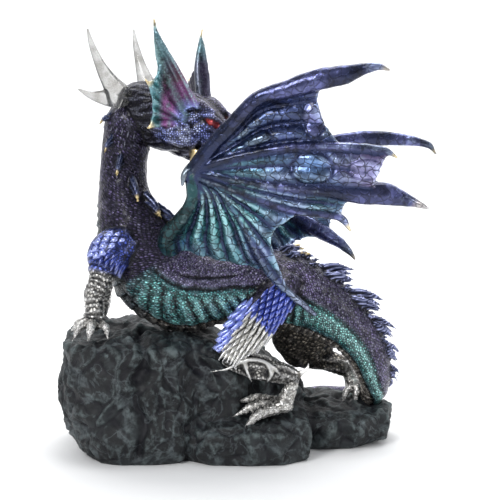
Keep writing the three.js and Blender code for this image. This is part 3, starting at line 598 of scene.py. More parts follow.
# %% Trunk, legs and head
SPINE_PART, HEAD, FRILL, FORELEG, THIGH, SHIN, FOOT, CLAW, SPIKE, EYE, RIB = range(11)
body = Clay()
for limbs, part, sides, steps in [
    ([SPINE], SPINE_PART, 48, 300), ([LEFT_FORELEG, RIGHT_FORELEG], FORELEG, 24, 44),
    ([LEFT_THIGH, RIGHT_THIGH], THIGH, 24, 44), ([LEFT_SHIN, RIGHT_SHIN], SHIN, 24, 44),
    ([LEFT_HEEL, RIGHT_HEEL], FOOT, 24, 44), ([HOCK_SPUR], CLAW, 24, 44), (SHIN_RIBS, RIB, 12, 40),
    (LEFT_HAND + RIGHT_HAND + LEFT_FOOT + RIGHT_FOOT, FOOT, 14, 24), ([SKULL], HEAD, 36, 60),
    ([JAW], HEAD, 24, 36),
]:
    for limb in limbs:
        body.tube(limb, part, sides, steps)
FACE = [  # the left side's stations, part, sides and steps
    ([(-4, 10, 9, 3, 2.6), (8, 9, 10, 3.6, 3), (17, 7, 5, 2.4, 2)], HEAD, 14, 20),
    ([(-8, 11, -2, 5, 7), (0, 12, -5, 5, 7), (8, 9, -9, 4, 5)], HEAD, 18, 20),
    ([(8, 8, -14, 3.4), (6, 9.4, -21, 2.6), (3, 9.6, -28, 0.7)], CLAW, 14, 20),
    ([(12, 9, 3.5, 0.8), (16.5, 9.2, 1.2, 2.3, 2), (20.5, 7.6, -2, 0.8)], EYE, 16, 16),
    ([(9, 10, 5, 1), (16.5, 10.6, 4.6, 1.5, 1.3), (22, 7.6, 0.5, 0.8)], HEAD, 12, 16),
    ([(10, 10.3, 0.5, 0.8), (16, 10.6, -2, 1.3, 1.1), (21, 7.6, -5, 0.8)], HEAD, 12, 16),
]
for side in (-1, 1):
    for rows, part, sides, steps in FACE:
        mirrored = [(x, y * side, *rest) for x, y, *rest in rows]
        body.tube(head_limb(mirrored, (0.2, 0, 1)), part, sides, steps)
print("the body has", len(body.parts), "lumps so far")

# %% [markdown]
# A frill is a fan of skin on three stiff rays behind a cheek. It is the same web as a wing's, with thin ribs.


# %% Frills
def frill_rays(root, tips, crest, bend):
    """The front edge and the three rays of a fan of skin behind a cheek."""
    root = np.array(root, float)
    rays = []
    for index, tip in enumerate(tips):
        start = root + (-1, 0, 2 - 2 * index)
        middle = (start + tip) / 2 + (-2.5 if index else -bend, 0, 1)
        rays.append(head_limb([(*start, 2.4), (*middle, 2.4 - 0.2 * index), (*tip, 0.7)]))
    middle = root + (np.array(tips[0]) - root) * 0.55 + (crest, 0, -5)
    front = [(*(root + (crest, 0, 6)), 1.2), (*middle, 1.1), (*(np.array(tips[0]) + (0.6, 0, -6)), 0.6)]
    return [head_limb(front), *rays]


def frill_folds(count):
    """Thin ribs between two rays, with fine rungs across them."""
    def fold(u, s):
        edge = np.clip(6 * np.minimum(s, 1 - s), 0, 1)
        return 1.6 * (0.55 - np.abs(np.sin(math.pi * count * s))) * np.sqrt(u) * edge + 0.15 * np.sin(u * 110)

    return fold


tall_rays = []
for *shape, tall_reach in FRILLS:
    rays = frill_rays(*shape)
    tall_rays.append(len(body.parts) + 1)
    for ray in rays:
        body.tube(ray, FRILL, 12, 36)
    fans = [(tall_reach, 0.03, 3), ((0.62, 0.9), 0.14, 4), ((0.9, 0.9), 0.14, 3)]
    for near, far, (reach, bow, count) in zip(rays, rays[1:], fans):
        body.web(near, far, FRILL, reach, bow, 0.8, 1.8, (70, 40), frill_folds(count), np.sign(shape[0][1]))
print("the frills' tall rays are lumps", tall_rays)

# %% [markdown]
# The back's blades lie along it like flames, small and single on the neck, and in fans of four over the hip
# and the tail. Each leaves the skin at its own angle, so the crest looks ragged and not like a saw.


# %% Neck spikes and crest
def flame(t, turn, rise, sweep, girth):
    """A blade that leaves the back at a share of the spine and an angle, and sweeps toward the tail."""
    along, out = SPINE.outward(t, turn)
    root, top = SPINE.skin(t, turn, 0.85)[0], SPINE.skin(t, turn)[0]
    waist = top + 0.5 * rise * out + 0.4 * sweep * along
    tip = top + rise * out + sweep * along
    stations = [(*root, 1.3 * girth, 2.6 * girth), (*waist, girth, 1.6 * girth), (*tip, 0.35)]
    body.tube(Limb(stations, np.cross(np.cross(along, out), tip - root)), SPIKE, 12, 24)


for index in range(6):
    length = 5 + 1.2 * index
    flame(0.045 + 0.034 * index, 0, 0.85 * length, 1.35 * length, 1.1 + 0.22 * index)
CREST = [  # share of the spine, size
    (0.42, 0.45), (0.465, 0.5), (0.51, 0.85), (0.534, 0.5), (0.556, 1.15), (0.58, 0.55), (0.6, 1.2),
    (0.622, 0.55), (0.64, 0.95), (0.659, 0.5), (0.675, 0.75), (0.708, 0.6), (0.738, 0.5), (0.765, 0.4),
    (0.79, 0.35),
]
BLADES = [  # how far down the spine, angle, rise, sweep and girth
    (0, 0.08, 6.4, 14.5, 1.5), (0.008, 0.34, 4.6, 12.5, 1.4), (0.008, -0.25, 4.6, 12.5, 1.4),
    (0.016, 0.1, 3.2, 9, 1.2),
]
for t, size in CREST:
    for further, turn, *sizes in BLADES:
        flame(t + further, turn, *(size * value for value in sizes))
dragon = body.cast("dragon_skin", 0.92 * FINE)

# %% [markdown]
# ## The wings
# A wing is an arm, a wrist and long fingers with skin between them. The skin hangs in pleats that run out
# from the wrist, as in cloth that is gathered at one point. Each pleat is a sharp ridge with a round valley
# beside it. The pleats are shaped in the grid before the casting, so that both faces of the skin follow them.


# %% Pleats
def pleats(count, height, drift=0.0):
    """A fold for a web: round pillows that run out from the wrist, with sharp valleys between them."""
    def fold(u, s):
        wave = np.abs(np.sin(math.pi * (count * s + drift * np.sin(3 * u))))
        edge = np.clip(8 * np.minimum(s, 1 - s), 0, 1)
        return height * (wave - 0.62) * np.clip(2.2 * u, 0, 1) * np.clip(3.4 - 3 * u, 0.2, 1) * edge

    return fold


# %% Clay of both wings
BONE, ARM, SKIN, THUMB, WHIP = range(5)
WING_VOXEL = 0.72 * FINE


def wing(name, limbs, outside, webs):
    """A cast wing: its bones, and a skin from each finger to the next one and from the last to the arm."""
    clay = Clay()
    clay.tube(limbs["arm"], ARM, 24, 60)
    clay.tube(limbs["thumb"], THUMB, 14, 20)
    fingers = [limbs[finger] for finger in ("lead", "second", "third", "fourth", "whip") if finger in limbs]
    for finger in fingers:
        clay.tube(finger, WHIP if finger is limbs["whip"] else BONE, 18, 110)
    arm = limbs["arm"]
    from_wrist = Limb(np.hstack([arm.path, arm.girth])[::-1], arm.backs[0])
    for near, far, (reach, bow, sag, fold) in zip(fingers, [*fingers[1:], from_wrist], webs):
        clay.web(near, far, SKIN, reach, bow, sag, 1.7, (110, 56), fold, outside)
    return clay.cast(name, WING_VOXEL, 2)


left_wing = wing("left_wing", LEFT_WING, -1, [  # reach, bow, sag and pleats of each skin
    ((0.57, 0.6), 0.1, 4, pleats(3, 3.4, 0.3)), ((0.9, 0.72), 0.08, -3, pleats(2, 2.2, 0.1)),
    ((0.62, 0.86), 0.08, -2, pleats(2, 2.4, 0.12)), ((0.58, 0.78), 0.24, -3, pleats(3, 3, 0.15)),
    ((0.6, 0.88), -0.02, 0, pleats(5, 4.2)),
])
right_wing = wing("right_wing", RIGHT_WING, 1, [
    ((0.6, 0.8), 0.2, -3, pleats(3, 2.6)), ((0.75, 0.7), 0.2, 3, pleats(3, 2.4)),
    ((0.7, 0.6), 0.14, 3, pleats(3, 2.4)), ((0.62, 0.88), -0.02, 0, pleats(5, 4)),
])

# %% [markdown]
# ## The rock
# The base is cast with the look of split stone: heavy lumps, ledges and a deep cleft down its front. The
# frame's own rock gives the mass, so a copy of it is merged and recast in small even faces, and noise breaks
# it up. A ridged noise, one minus the size of the noise, gives edges that plain noise doesn't have. The foot
# stays flat.

# %% Rock
rock_node = bpy.data.objects["rock_base"]
bm = bmesh.new()
bm.from_mesh(rock_node.data)
bmesh.ops.remove_doubles(bm, verts=bm.verts, dist=1e-6)
rock = recast("rock", mesh_from(bm, "rock"), 1.1 * FINE, 6)
rock_corners = corners_of(rock.data)
CLEFT = 58  # how far left of the middle the cleft runs, in millimetres of the warped stone
noise.seed_set(1)  # noise vectors differ from run to run without a seed


def stone(spot):
    """How far the stone stands out at a spot, in millimetres."""
    place = Vector(spot)
    warped = place + 7 * noise.noise_vector(place * 0.05)
    lump = 1 - 2 * abs(noise.noise(warped * 0.05))
    ledge = 1 - 2 * abs(noise.noise(Vector((warped.x * 0.13, warped.y * 0.13, warped.z * 0.06 + 9))))
    near, far = noise.voronoi(warped * 0.06)[0][:2]
    crack = math.exp(-(((far - near) / 0.09) ** 2))
    grit = noise.fractal(place * 0.22, 0.9, 2.1, 5)
    wander = warped.x + CLEFT + 5 * noise.noise(Vector((0, 3, place.z * 0.07)))
    cleft = math.exp(-((wander / 2.6) ** 2)) * (place.y < 0)
    return 3.2 * lump + 1.3 * ledge - 2 + 0.5 * grit - 1.3 * crack - 3.8 * cleft


depth = np.array([stone(spot) for spot in rock_corners])
above_foot = np.clip(rock_corners[:, 2] / 5, 0, 1)
push(rock.data, rock_corners, depth * above_foot)
print("the stone's relief runs from", round(depth.min(), 2), "to", round(depth.max(), 2), "mm")

# %% [markdown]
# ## The horns
# Two clear horns are cast apart and glued into sockets in the head, one over each cheek. Each has a long
# prong that curves up and a short one behind it. Two bent tubes joined by the same recasting give a seamless
# fork.


# %% Horns
def horn_limbs(root, lean):
    """The two prongs from a root in the skull, leaning out by a share along and across the head."""
    def at(out, across, rise):
        return (root[0] + out * lean[0], root[1] + across * lean[1], root[2] + rise)

    long = [
        (*at(6, -3, -4), 4.5, 3.6), (*at(1, 0, 1), 7, 4.4), (*at(-4.5, 2.5, 9), 4.7, 3.5),
        (*at(-9.3, 4, 18), 2.9, 2.4), (*at(-13.5, 5, 29), 1.6, 1.5), (*at(-15.5, 5.5, 37), 0.6),
    ]
    short = [
        (*at(1, 1, -2), 4.5, 3.6), (*at(-6, 3, 0), 4.4, 3.2), (*at(-14, 5, 1.5), 2.2, 2),
        (*at(-21, 6, 5), 0.5),
    ]
    return Limb(long, (0.2, 1, 0)), Limb(short, (0.2, 1, 0))


horns = []
HORNS = [("right_horn", (-71, -4, 194), (1, -1.3)), ("left_horn", (-55, 13, 193), (0.6, 1.4))]
for name, root, lean in HORNS:
    clay = Clay()
    for prong in horn_limbs(root, lean):
        clay.tube(prong, 0, 28, 60)
    horns.append((name, clay.cast(f"clear_{name}", 0.5 * FINE, 3)))

# %% [markdown]
# ## Relief on the body
# The sculptor presses the details into the clay: broad plates down the throat and belly, ribs on the flank, a
# groove where the belly's panel starts, strands on the head and rings on the toes. Here the skin is pushed in
# and out along its normals, and each pattern reads the arc along a limb and the angle round it, so that it
# follows the body. The scales themselves are finer than the skin's faces, so they come with the paint.


# %% Patterns
def saw(values):
    """Overlapping plates: each rises slowly and ends in a step."""
    share = values % 1
    return np.where(share < 0.82, share / 0.82, (1 - share) / 0.18)


def ridge(values):
    """Sharp ridges with round valleys between them, from 0 to 1."""
    return 1 - np.abs(np.sin(math.pi * values))


def dip(values, width):
    """One where the values are nothing, fading smoothly over a width."""
    return np.exp(-((values / width) ** 2))


# %% Body relief
angle, arc, share, girth = np.abs(dragon.turn), dragon.arc, dragon.share, dragon.girth
on_spine, on_head = dragon.on(SPINE_PART), dragon.on(HEAD)
foreleg, thigh, shin = dragon.on(FORELEG), dragon.on(THIGH), dragon.on(SHIN)
on_feet, on_spikes, on_claws, on_frill = (dragon.on(part, rounds=1) for part in (FOOT, SPIKE, CLAW, FRILL))
trunk, tail = band(arc, 100, 182, 8), band(arc, 190, 400, 10)
lumps = grain(dragon.corners, 9, 3)
scutes = (saw(arc / 4.4) - 0.5) * band(angle, 2.5, 4, 0.15)
flank = np.sqrt(ridge((arc - 9 * (angle - 1.7)) / 6.4)) * band(angle, 1.75, 2.35, 0.12) * trunk
groove = dip((angle - 1.5 - 0.06 * lumps) * girth, 1.3) * (trunk + 0.5 * tail)
slit = dip((angle - 1.2 + 0.004 * (arc - 130)) * girth, 1.1) * band(arc, 112, 142, 8)
lower_groove = dip((angle - 2.45) * girth, 1.0) * (trunk + tail)
cuts = 1.3 * groove + 1.1 * slit + 0.8 * lower_groove
depth = on_spine * (0.95 * scutes + 1.4 * flank - cuts + 0.5 * lumps)
in_head = (dragon.corners - np.array(HEAD_POSE.translation)) @ np.array(HEAD_POSE.to_3x3())
snoutward, outward, upward = in_head[:, 0], np.abs(in_head[:, 1]), in_head[:, 2]
strands = 1 - 2 * np.abs(grain(in_head / (3.4, 1, 1), 4.4, 2, 5))
depth += on_head * (0.9 * strands * band(snoutward, -60, 2, 12) + 0.45 * lumps)
wrinkles = ridge(arc / 3.1 + 0.5 * lumps)
depth += foreleg * (0.75 * wrinkles * band(share, 0.28, 0.9, 0.06) + 0.5 * lumps)
sinews = ridge(dragon.turn * 0.95 + 0.04 * arc + 0.2 * lumps)
depth += shin * (1.3 * sinews - 0.5)
knee = ridge(dragon.turn * 1.3 + 0.03 * arc) * band(share, 0.7, 2, 0.1)
depth += thigh * (0.5 * lumps - 0.3 + 0.7 * knee)
stripes = ridge(dragon.turn / 0.8)
depth += on_spikes * (0.7 * stripes - 0.3)
knuckles = ridge(arc / 3.3 + 0.9 * grain(dragon.corners, 3, 2, 6))
depth += on_feet * (0.5 * knuckles * band(share, 0.05, 0.8, 0.05) - 0.35 + 0.3 * lumps)
dragon.push(depth)
print("the body's relief runs from", round(depth.min(), 2), "to", round(depth.max(), 2), "mm")

# %% [markdown]
# The wings' skin bulges in places, as if it were stretched over a knuckle. A few soft domes do that.


# %% Wing domes
def dome(places, centre, half, height, rim=0.0):
    """A smooth swelling at a centre in x and z, with a sunk rim round it if one is given."""
    out = np.hypot((places[:, 0] - centre[0]) / half[0], (places[:, 2] - centre[1]) / half[1])
    return height * np.clip(1 - out**2, 0, 1) - rim * dip(out - 1.05, 0.13)


DOMES = [  # centre, half sizes, height and rim
    ((32, 160), (10.5, 8.5), 1.5, 0.45), ((33, 186), (6, 9), 1.1, 0.3),
    ((60, 160), (9, 5), 0.8, 0.2), ((2, 176), (9, 5), 0.8, 0.2),
]
swelling = sum(dome(left_wing.corners, *shape) for shape in DOMES) * left_wing.on(SKIN, rounds=2)
left_wing.push(swelling + 0.25 * grain(left_wing.corners, 6, 3, 4))
right_wing.push(0.3 * grain(right_wing.corners, 6, 3, 4))
print("the left wing's skin swells by", round(swelling.max(), 2), "mm")

# %% [markdown]
# ## The painter's colours
# The statue is painted in pearl lacquers: violet over the neck and back, teal on the flank, cobalt on the
# shoulders and thighs, silver on the legs and gold on the tips. Mica in the lacquer shines like metal, so the
# colours are the tint of a mirror more than of a wall. They are stored at the skin's corners as a brush would
# lay them, each coat over the last with a soft edge.
# Some coats are painted light: mint highlights, a pale cheek highlight and a shadow under the head.

# %% Colours
NIGHT, INK, NAVY, INDIGO = np.array([
    (0.014, 0.011, 0.028), (0.018, 0.024, 0.055), (0.02, 0.03, 0.09), (0.04, 0.05, 0.13),
])
VIOLET, PURPLE, PLUM, HEATHER = np.array([
    (0.055, 0.043, 0.1), (0.15, 0.12, 0.25), (0.15, 0.16, 0.36), (0.27, 0.26, 0.5),
])
DUSK, IRIS, COBALT, BLUEBELL = np.array([
    (0.075, 0.1, 0.24), (0.1, 0.11, 0.27), (0.045, 0.075, 0.38), (0.12, 0.22, 0.45),
])
PERIWINKLE, CORNFLOWER, PAINTED_CHEEK_HIGHLIGHT, SLATE = np.array([
    (0.26, 0.32, 0.8), (0.36, 0.42, 0.85), (0.5, 0.55, 0.9), (0.34, 0.36, 0.62),
])
TEAL, SEA, PAINTED_MINT_HIGHLIGHT, LAGOON = np.array([
    (0.035, 0.17, 0.19), (0.16, 0.5, 0.47), (0.34, 0.7, 0.66), (0.085, 0.27, 0.28),
])
MOSS, DEEP_SEA, DULL_TEAL, PALE_TEAL = np.array([
    (0.016, 0.035, 0.035), (0.05, 0.12, 0.17), (0.2, 0.34, 0.36), (0.24, 0.4, 0.41),
])
PEWTER, BRONZE, SILVER, PEARL = np.array([
    (0.36, 0.35, 0.32), (0.24, 0.21, 0.17), (0.56, 0.54, 0.5), (0.66, 0.65, 0.61),
])
GOLD, MAGENTA, MAROON, RED = np.array([
    (0.6, 0.46, 0.2), (0.3, 0.05, 0.28), (0.1, 0.018, 0.045), (0.35, 0.012, 0.01),
])

# %% Body colours
mottle, fleck = grain(dragon.corners, 14, 3, 2), grain(dragon.corners, 4, 2, 3)
cheek = on_head * band(outward, 9, 30, 3) * band(upward, -9, 6, 3)
on_far_side = dragon.corners[:, 1] > 4
on_crest = on_spikes * (dragon.corners[:, 0] > 0)
near_side = (in_head[:, 1] < 0).astype(float)
near_frill = on_frill * near_side
out_of_cheek = np.linalg.norm(in_head - (3, 0, 2), axis=1)
on_ray = spread(dragon.mesh, np.isin(dragon.lump, tall_rays).astype(float), 1) * band(out_of_cheek, 16, 90, 8)
ray_tips = np.array([tip for _, tips, *_ in FRILLS for tip in tips], float)
near_tip = np.min([np.linalg.norm(in_head - tip, axis=1) for tip in ray_tips], axis=0)
dragon.brush(
    (on_spine + on_head, VIOLET),
    (on_spine * band(arc, -1, 95, 12), VIOLET * 0.9),
    (on_spine * trunk * band(angle, 0.8, 1.4, 0.25) * (0.7 + mottle), PURPLE),
    (on_spine * tail * band(angle, 0, 1.1, 0.3) * (0.6 + mottle), PURPLE),
    (on_spine * (trunk + tail) * band(angle, 1.52, 2.5, 0.1), TEAL),
    (on_spine * trunk * band(angle, 1.65, 2.3, 0.15) * (0.75 + 0.8 * fleck), SEA),
    (on_spine * tail * band(angle, 1.55, 2.1, 0.15) * (0.8 + 0.8 * fleck), SEA),
    # Painted highlights: a broad mint one along the tail's teal band and one on the belly's panel.
    (on_spine * band(arc, 205, 300, 20) * band(angle, 1.66, 1.95, 0.2) * 0.9, PAINTED_MINT_HIGHLIGHT),
    (on_spine * band(arc, 128, 165, 12) * band(angle, 1.8, 2.15, 0.2) * 0.6, PAINTED_MINT_HIGHLIGHT),
    (on_spine * (trunk + tail) * band(angle, 2.45, 4, 0.1), BRONZE * 1.5),
    (on_spine * band(arc, -1, 100, 12) * band(angle, 2.35, 4, 0.2), MOSS),
    (cheek * band(snoutward, -14, 14, 5) * (0.8 + 0.5 * fleck), PERIWINKLE),
    # Painted highlight: pale blue flecks where the cheek's beads catch the light.
    (cheek * band(snoutward, -4, 8, 4) * band(fleck, 0.05, 2, 0.2), PAINTED_CHEEK_HIGHLIGHT),
    (on_head * band(snoutward, -60, -18, 8), NIGHT),
    # Painted shadow: the underside of the head and jaw in near-black.
    (on_head * band(upward, -60, -13, 4), NIGHT),
    (foreleg, SILVER),
    (foreleg * band(share, -1, 0.3, 0.05), COBALT),
    (thigh, VIOLET),
    (thigh * band(share, 0.45, 2, 0.15), BRONZE),
    (shin, SILVER * 0.85),
    (on_feet, SILVER),
    ((thigh + shin + on_feet) * on_far_side, BRONZE),
    (on_feet * on_far_side, SILVER),
    (on_claws, GOLD),
    (on_claws * (dragon.corners[:, 0] > 0), SILVER),
    (dragon.on(RIB, rounds=1), PEWTER),
    (dragon.on(EYE, rounds=0), RED),
    (on_spikes, NAVY),
    (on_crest * stripes**2 * band(share, 0.1, 2, 0.2), SLATE),
    ((on_spikes - on_crest) * band(share, 0.78, 2, 0.1), GOLD),
    (on_crest * (dragon.corners[:, 0] < 34) * band(share, 0.8, 2, 0.1), GOLD),
    (on_frill, VIOLET * 0.7),
    (near_frill * band(out_of_cheek, 26, 38, 6) * (0.5 + mottle), MAROON),
    (near_frill * band(out_of_cheek, 17, 24, 4) * (0.4 + 1.2 * mottle), MAGENTA),
    (near_frill * band(out_of_cheek, 8, 15, 4), PERIWINKLE),
    (near_frill * band(snoutward, -40, -9.5, 2.5), TEAL),
    (on_frill * band(out_of_cheek, 42, 90, 8), TEAL * 0.6),
    (near_frill * ridge(share * 3) ** 3 * 0.8, DULL_TEAL),
    (on_ray * (0.1 + 0.65 * near_side), PALE_TEAL),
    (on_frill * band(near_tip, 0, 2.5, 3), GOLD),
)
print("the body's mean colour is", dragon.paint.mean(axis=0).round(3))

# %% [markdown]
# ## Scales like leaves
# On the shoulders and thighs the scales are long and lapped like feathers, and each stands clear of the skin.
# A leaf is a small grid: narrow at its root, widest past its middle, bent up along a rib. Rows of leaves are
# laid on a limb by its share and angle, from its root to its end. Each leaf has its own paint: dark at the
# root and light on its rib and rim.
# The dark root is partly wash and partly painted shade, the light rib and rim partly dry brush and painted
# highlight.


# %% A leaf
class Leaves:
    def __init__(self):
        self.bm = bmesh.new()
        self.paint = self.bm.verts.layers.float_color.new("paint")
        self.raised = self.bm.verts.layers.float.new("raised")

    def leaf(self, root, along, out, length, width, colour, rise):
        side = np.cross(out, along)
        for vert in bmesh.ops.create_grid(self.bm, x_segments=6, y_segments=4, size=0.5)["verts"]:
            u, v = vert.co.x + 0.5, vert.co.y * 2
            half = width * (math.sin(math.pi * min(u + 0.12, 1) ** 1.25) ** 0.7 * 0.5)
            lift = rise * length * u - 0.32 * width * v * v + 0.16 * width * (1 - abs(v))
            vert.co = (root + along * length * u + side * half * v + out * lift) * MM
            vert[self.paint] = (*colour, 1)
            # Low at the root for wash and painted shade, high at the tip, rib and rim for dry brush and
            # painted highlight.
            vert[self.raised] = 1.5 * u - 0.75 + 0.5 * (abs(v) < 0.1) + 0.3 * (abs(v) > 0.9)

    def lay(self, limb, shares, rows, turns, columns, length, width, colour, rise, sink):
        """Rows of leaves between two shares and two angles of a limb, every other row half a leaf on."""
        for row in range(rows):
            share = shares[0] + (shares[1] - shares[0]) * row / (rows - 1)
            for column in range(columns):
                place = (column + 0.5 * (row % 2)) / (columns - 1)
                turn = turns[0] + (turns[1] - turns[0]) * place
                along, out = limb.outward(share, turn)
                size = 1 + 0.12 * math.sin(7 * row + 13 * column)
                self.leaf(limb.skin(share, turn, sink)[0], along, out, length * size, width, colour, rise)

    def piece(self, name, material):
        """The leaves as one piece, each made solid."""
        bmesh.ops.recalc_face_normals(self.bm, faces=self.bm.faces)
        bmesh.ops.solidify(self.bm, geom=self.bm.faces[:], thickness=0.35 * MM)
        bmesh.ops.recalc_face_normals(self.bm, faces=self.bm.faces)
        mesh = mesh_from(self.bm, name)
        mesh.shade_smooth()
        mesh.materials.append(material)
        stand_for(show(name, mesh), "dragon_paint")
        print(name, "has", len(mesh.polygons), "faces")


# %% [markdown]
# ## Paint as a material
# A pearl paint is a metal in a shader's terms: it tints what it mirrors, and its roughness spreads it. Three
# things lie over it on the real statue, and each is a few nodes. A dark wash has run into the hollows and
# between the scales. A dry brush has left light paint on what stands out. And each scale catches the light in
# its own way, so a random grey for each cell of a Voronoi texture makes it glint.
# On the skin here the wash is also painted shade, and the dry brush also a painted highlight.

# %% A pot of paint
class Pot:
    """A material in the making: each call adds a node, joins its inputs and returns its output."""

    def __init__(self, name, plain):
        self.material = bpy.data.materials.new(name)
        self.material.use_nodes = True
        self.tree = self.material.node_tree
        self.shader = self.tree.nodes["Principled BSDF"].inputs
        for socket, value in plain.items():
            self.shader[socket].default_value = value

    def add(self, kind, inputs, output=0, **settings):
        new = self.tree.nodes.new("ShaderNode" + kind)
        for setting, value in settings.items():
            setattr(new, setting, value)
        for socket, value in inputs.items():
            if isinstance(value, bpy.types.NodeSocket):
                self.tree.links.new(value, new.inputs[socket])
            else:
                new.inputs[socket].default_value = value
        return new.outputs[output]

    def stored(self, name, output="Fac"):
        return self.add("Attribute", {}, output, attribute_name=name)

    def place(self, size):
        """Object coordinates counted in lumps of a size in millimetres."""
        spot = self.add("TexCoord", {}, "Object")
        return self.add("VectorMath", {0: spot, "Scale": 1 / (size * MM)}, operation="SCALE")

    def math(self, operation, a, b=0.0):
        return self.add("Math", {0: a, 1: b}, operation=operation)

    def times(self, a, b):
        return self.math("MULTIPLY", a, b)

    def span(self, value, low, high, start=0.0, end=1.0):
        """A value's way from low to high, as a way from start to end."""
        return self.add("MapRange", {0: value, 1: low, 2: high, 3: start, 4: end})

    def mix(self, share, a, b, blend="MIX"):
        return self.add("Mix", {0: share, 6: a, 7: b}, 2, data_type="RGBA", blend_type=blend)

    def coat(self, colour, over, *span):
        """A colour laid over another, as strongly as a span of a value says."""
        return self.mix(self.span(*span), colour, over)

    def dyed(self, colour, value):
        """A colour made darker or lighter by a grey value."""
        return self.mix(1.0, colour, self.add("CombineColor", {0: value, 1: value, 2: value}), "MULTIPLY")

    def highlight(self, paint, gain, share, pale):
        """Dry brush and painted highlight: the paint made lighter and drawn a share of the way to a pale
        colour.
        """
        return self.mix(share, self.mix(1.0, paint, tint(gain, gain, gain), "MULTIPLY"), pale)

    def noise(self, size, detail=3.0, output=0, **more):
        inputs = {"Vector": self.place(size), "Scale": 1, "Detail": detail, **more}
        return self.add("TexNoise", inputs, output)

    def cells(self, spot, output, randomness=1.0, feature="F1"):
        """The Voronoi cells round a spot: the distance to their middles or edges, or their random colours."""
        inputs = {"Vector": spot, "Scale": 1, "Randomness": randomness}
        return self.add("TexVoronoi", inputs, output, feature=feature)

    def chance(self, spot, randomness=1.0):
        """A random number for each cell."""
        return self.add("SeparateColor", {0: self.cells(spot, "Color", randomness)})

    def bump(self, height, strength, depth):
        """Relief finer than the mesh, with a depth in millimetres."""
        return self.add("Bump", {"Strength": strength, "Distance": depth * MM, "Height": height})

    def finish(self, colour, rough, bump):
        for socket, value in (("Base Color", colour), ("Roughness", rough), ("Normal", bump)):
            self.tree.links.new(value, self.shader[socket])
        return self.material


def tint(*colour):
    return (*colour, 1)


# A near-black for the dark wash, the dark lines and mottling, and for painted shade in the hollows.
WASH_AND_PAINTED_SHADE = tint(0.004, 0.004, 0.008)


# %% Pearl paint on scales
def scale_paint():
    pot = Pot("scale_paint", {"Metallic": 0.8, "IOR": 1.45, "Coat Weight": 0.3, "Coat Roughness": 0.2})
    paint, raised, bare = pot.stored("paint", "Color"), pot.stored("raised"), pot.stored("bare")
    spot = pot.stored("scales", "Vector")
    glint = pot.math("ADD", pot.times(pot.math("POWER", pot.chance(spot, 0.6), 3.0), 0.7), 0.75)
    # Each scale is painted lighter in its middle than at its edge: a painted highlight on its dome.
    glint = pot.times(glint, pot.span(pot.cells(spot, "Distance", 0.6), 0.05, 0.55, 2.0, 0.45))
    glint = pot.add("Mix", {0: bare, 2: glint, 3: 1.0})
    edge = pot.cells(spot, "Distance", 0.6, "DISTANCE_TO_EDGE")
    gap = pot.math("MAXIMUM", pot.span(edge, 0.02, 0.22), bare)
    # Pale flecks for the lacquer's flakes, painted as glints.
    painted_mica_glint = pot.times(pot.math("POWER", pot.chance(pot.place(0.8)), 4.0), pot.stored("mica_glint_amount"))
    colour = pot.mix(pot.times(painted_mica_glint, 0.5), pot.dyed(paint, glint), tint(0.5, 0.52, 0.6))
    # High relief: dry brush and painted highlight. Low relief: dark wash and painted shade.
    colour = pot.coat(colour, pot.highlight(paint, 2.4, 0.3, tint(0.7, 0.75, 0.9)), raised, 0.15, 0.9, 0, 0.7)
    colour = pot.coat(colour, WASH_AND_PAINTED_SHADE, gap, 0, 1, 0.62, 0)
    colour = pot.coat(colour, WASH_AND_PAINTED_SHADE, raised, -0.75, 0.0, 0.9, 0)
    colour = pot.coat(colour, WASH_AND_PAINTED_SHADE, pot.noise(3.5, 5), 0.42, 0.3, 0, 0.75)
    height = pot.math("ADD", gap, pot.times(glint, 0.4))
    return pot.finish(colour, pot.span(pot.noise(2.5), 0.3, 0.7, 0.24, 0.45), pot.bump(height, 1.0, 0.45))


# %% Pearl paint on the wings
def wing_paint():
    pot = Pot("wing_paint", {"Metallic": 0.82, "IOR": 1.45, "Coat Weight": 0.4, "Coat Roughness": 0.14})
    paint, raised, bare = pot.stored("paint", "Color"), pot.stored("raised"), pot.stored("bare")
    spot = pot.add("VectorMath", {0: pot.place(4.8), 1: pot.noise(7, 1, "Color")})
    edge = pot.cells(spot, "Distance", feature="DISTANCE_TO_EDGE")
    line = pot.math("MAXIMUM", pot.span(edge, 0.012, 0.075), bare)
    colour = pot.dyed(paint, pot.span(pot.chance(spot), 0, 1, 0.65, 1.4))
    # The crowns get the dry brush's light paint and a painted highlight; the valleys get painted navy shade.
    light = pot.highlight(paint, 2.6, 0.42, tint(0.6, 0.74, 0.8))
    colour = pot.coat(colour, light, raised, 0.2, 0.95, 0, 0.85)
    colour = pot.coat(colour, WASH_AND_PAINTED_SHADE, line, 0, 1, 0.8, 0)
    colour = pot.coat(colour, tint(*NAVY), raised, -0.7, 0.0, 0.95, 0)
    colour = pot.coat(colour, WASH_AND_PAINTED_SHADE, pot.noise(9, 6), 0.45, 0.3, 0, 0.7)
    height = pot.math("ADD", line, pot.times(pot.noise(1.2, 2), 0.35))
    return pot.finish(colour, pot.span(pot.noise(5, 4), 0.3, 0.7, 0.16, 0.36), pot.bump(height, 0.7, 0.35))


# %% Pearl paint on leaves
def leaf_paint():
    pot = Pot("leaf_paint", {"Metallic": 0.75, "IOR": 1.45, "Coat Weight": 0.4, "Coat Roughness": 0.15})
    paint, raised, streak = pot.stored("paint", "Color"), pot.stored("raised"), pot.noise(1.2, 4)
    # Root: wash and painted shade. Rib, rim and tip: dry brush and painted highlight.
    colour = pot.coat(WASH_AND_PAINTED_SHADE, paint, raised, -0.75, -0.25)
    light = pot.highlight(paint, 2, 0.5, tint(0.75, 0.78, 0.95))
    colour = pot.coat(colour, light, raised, 0.2, 1.1, 0, 0.85)
    colour = pot.coat(colour, WASH_AND_PAINTED_SHADE, streak, 0.45, 0.3, 0, 0.6)
    return pot.finish(colour, pot.span(streak, 0.3, 0.7, 0.22, 0.42), pot.bump(streak, 0.5, 0.2))
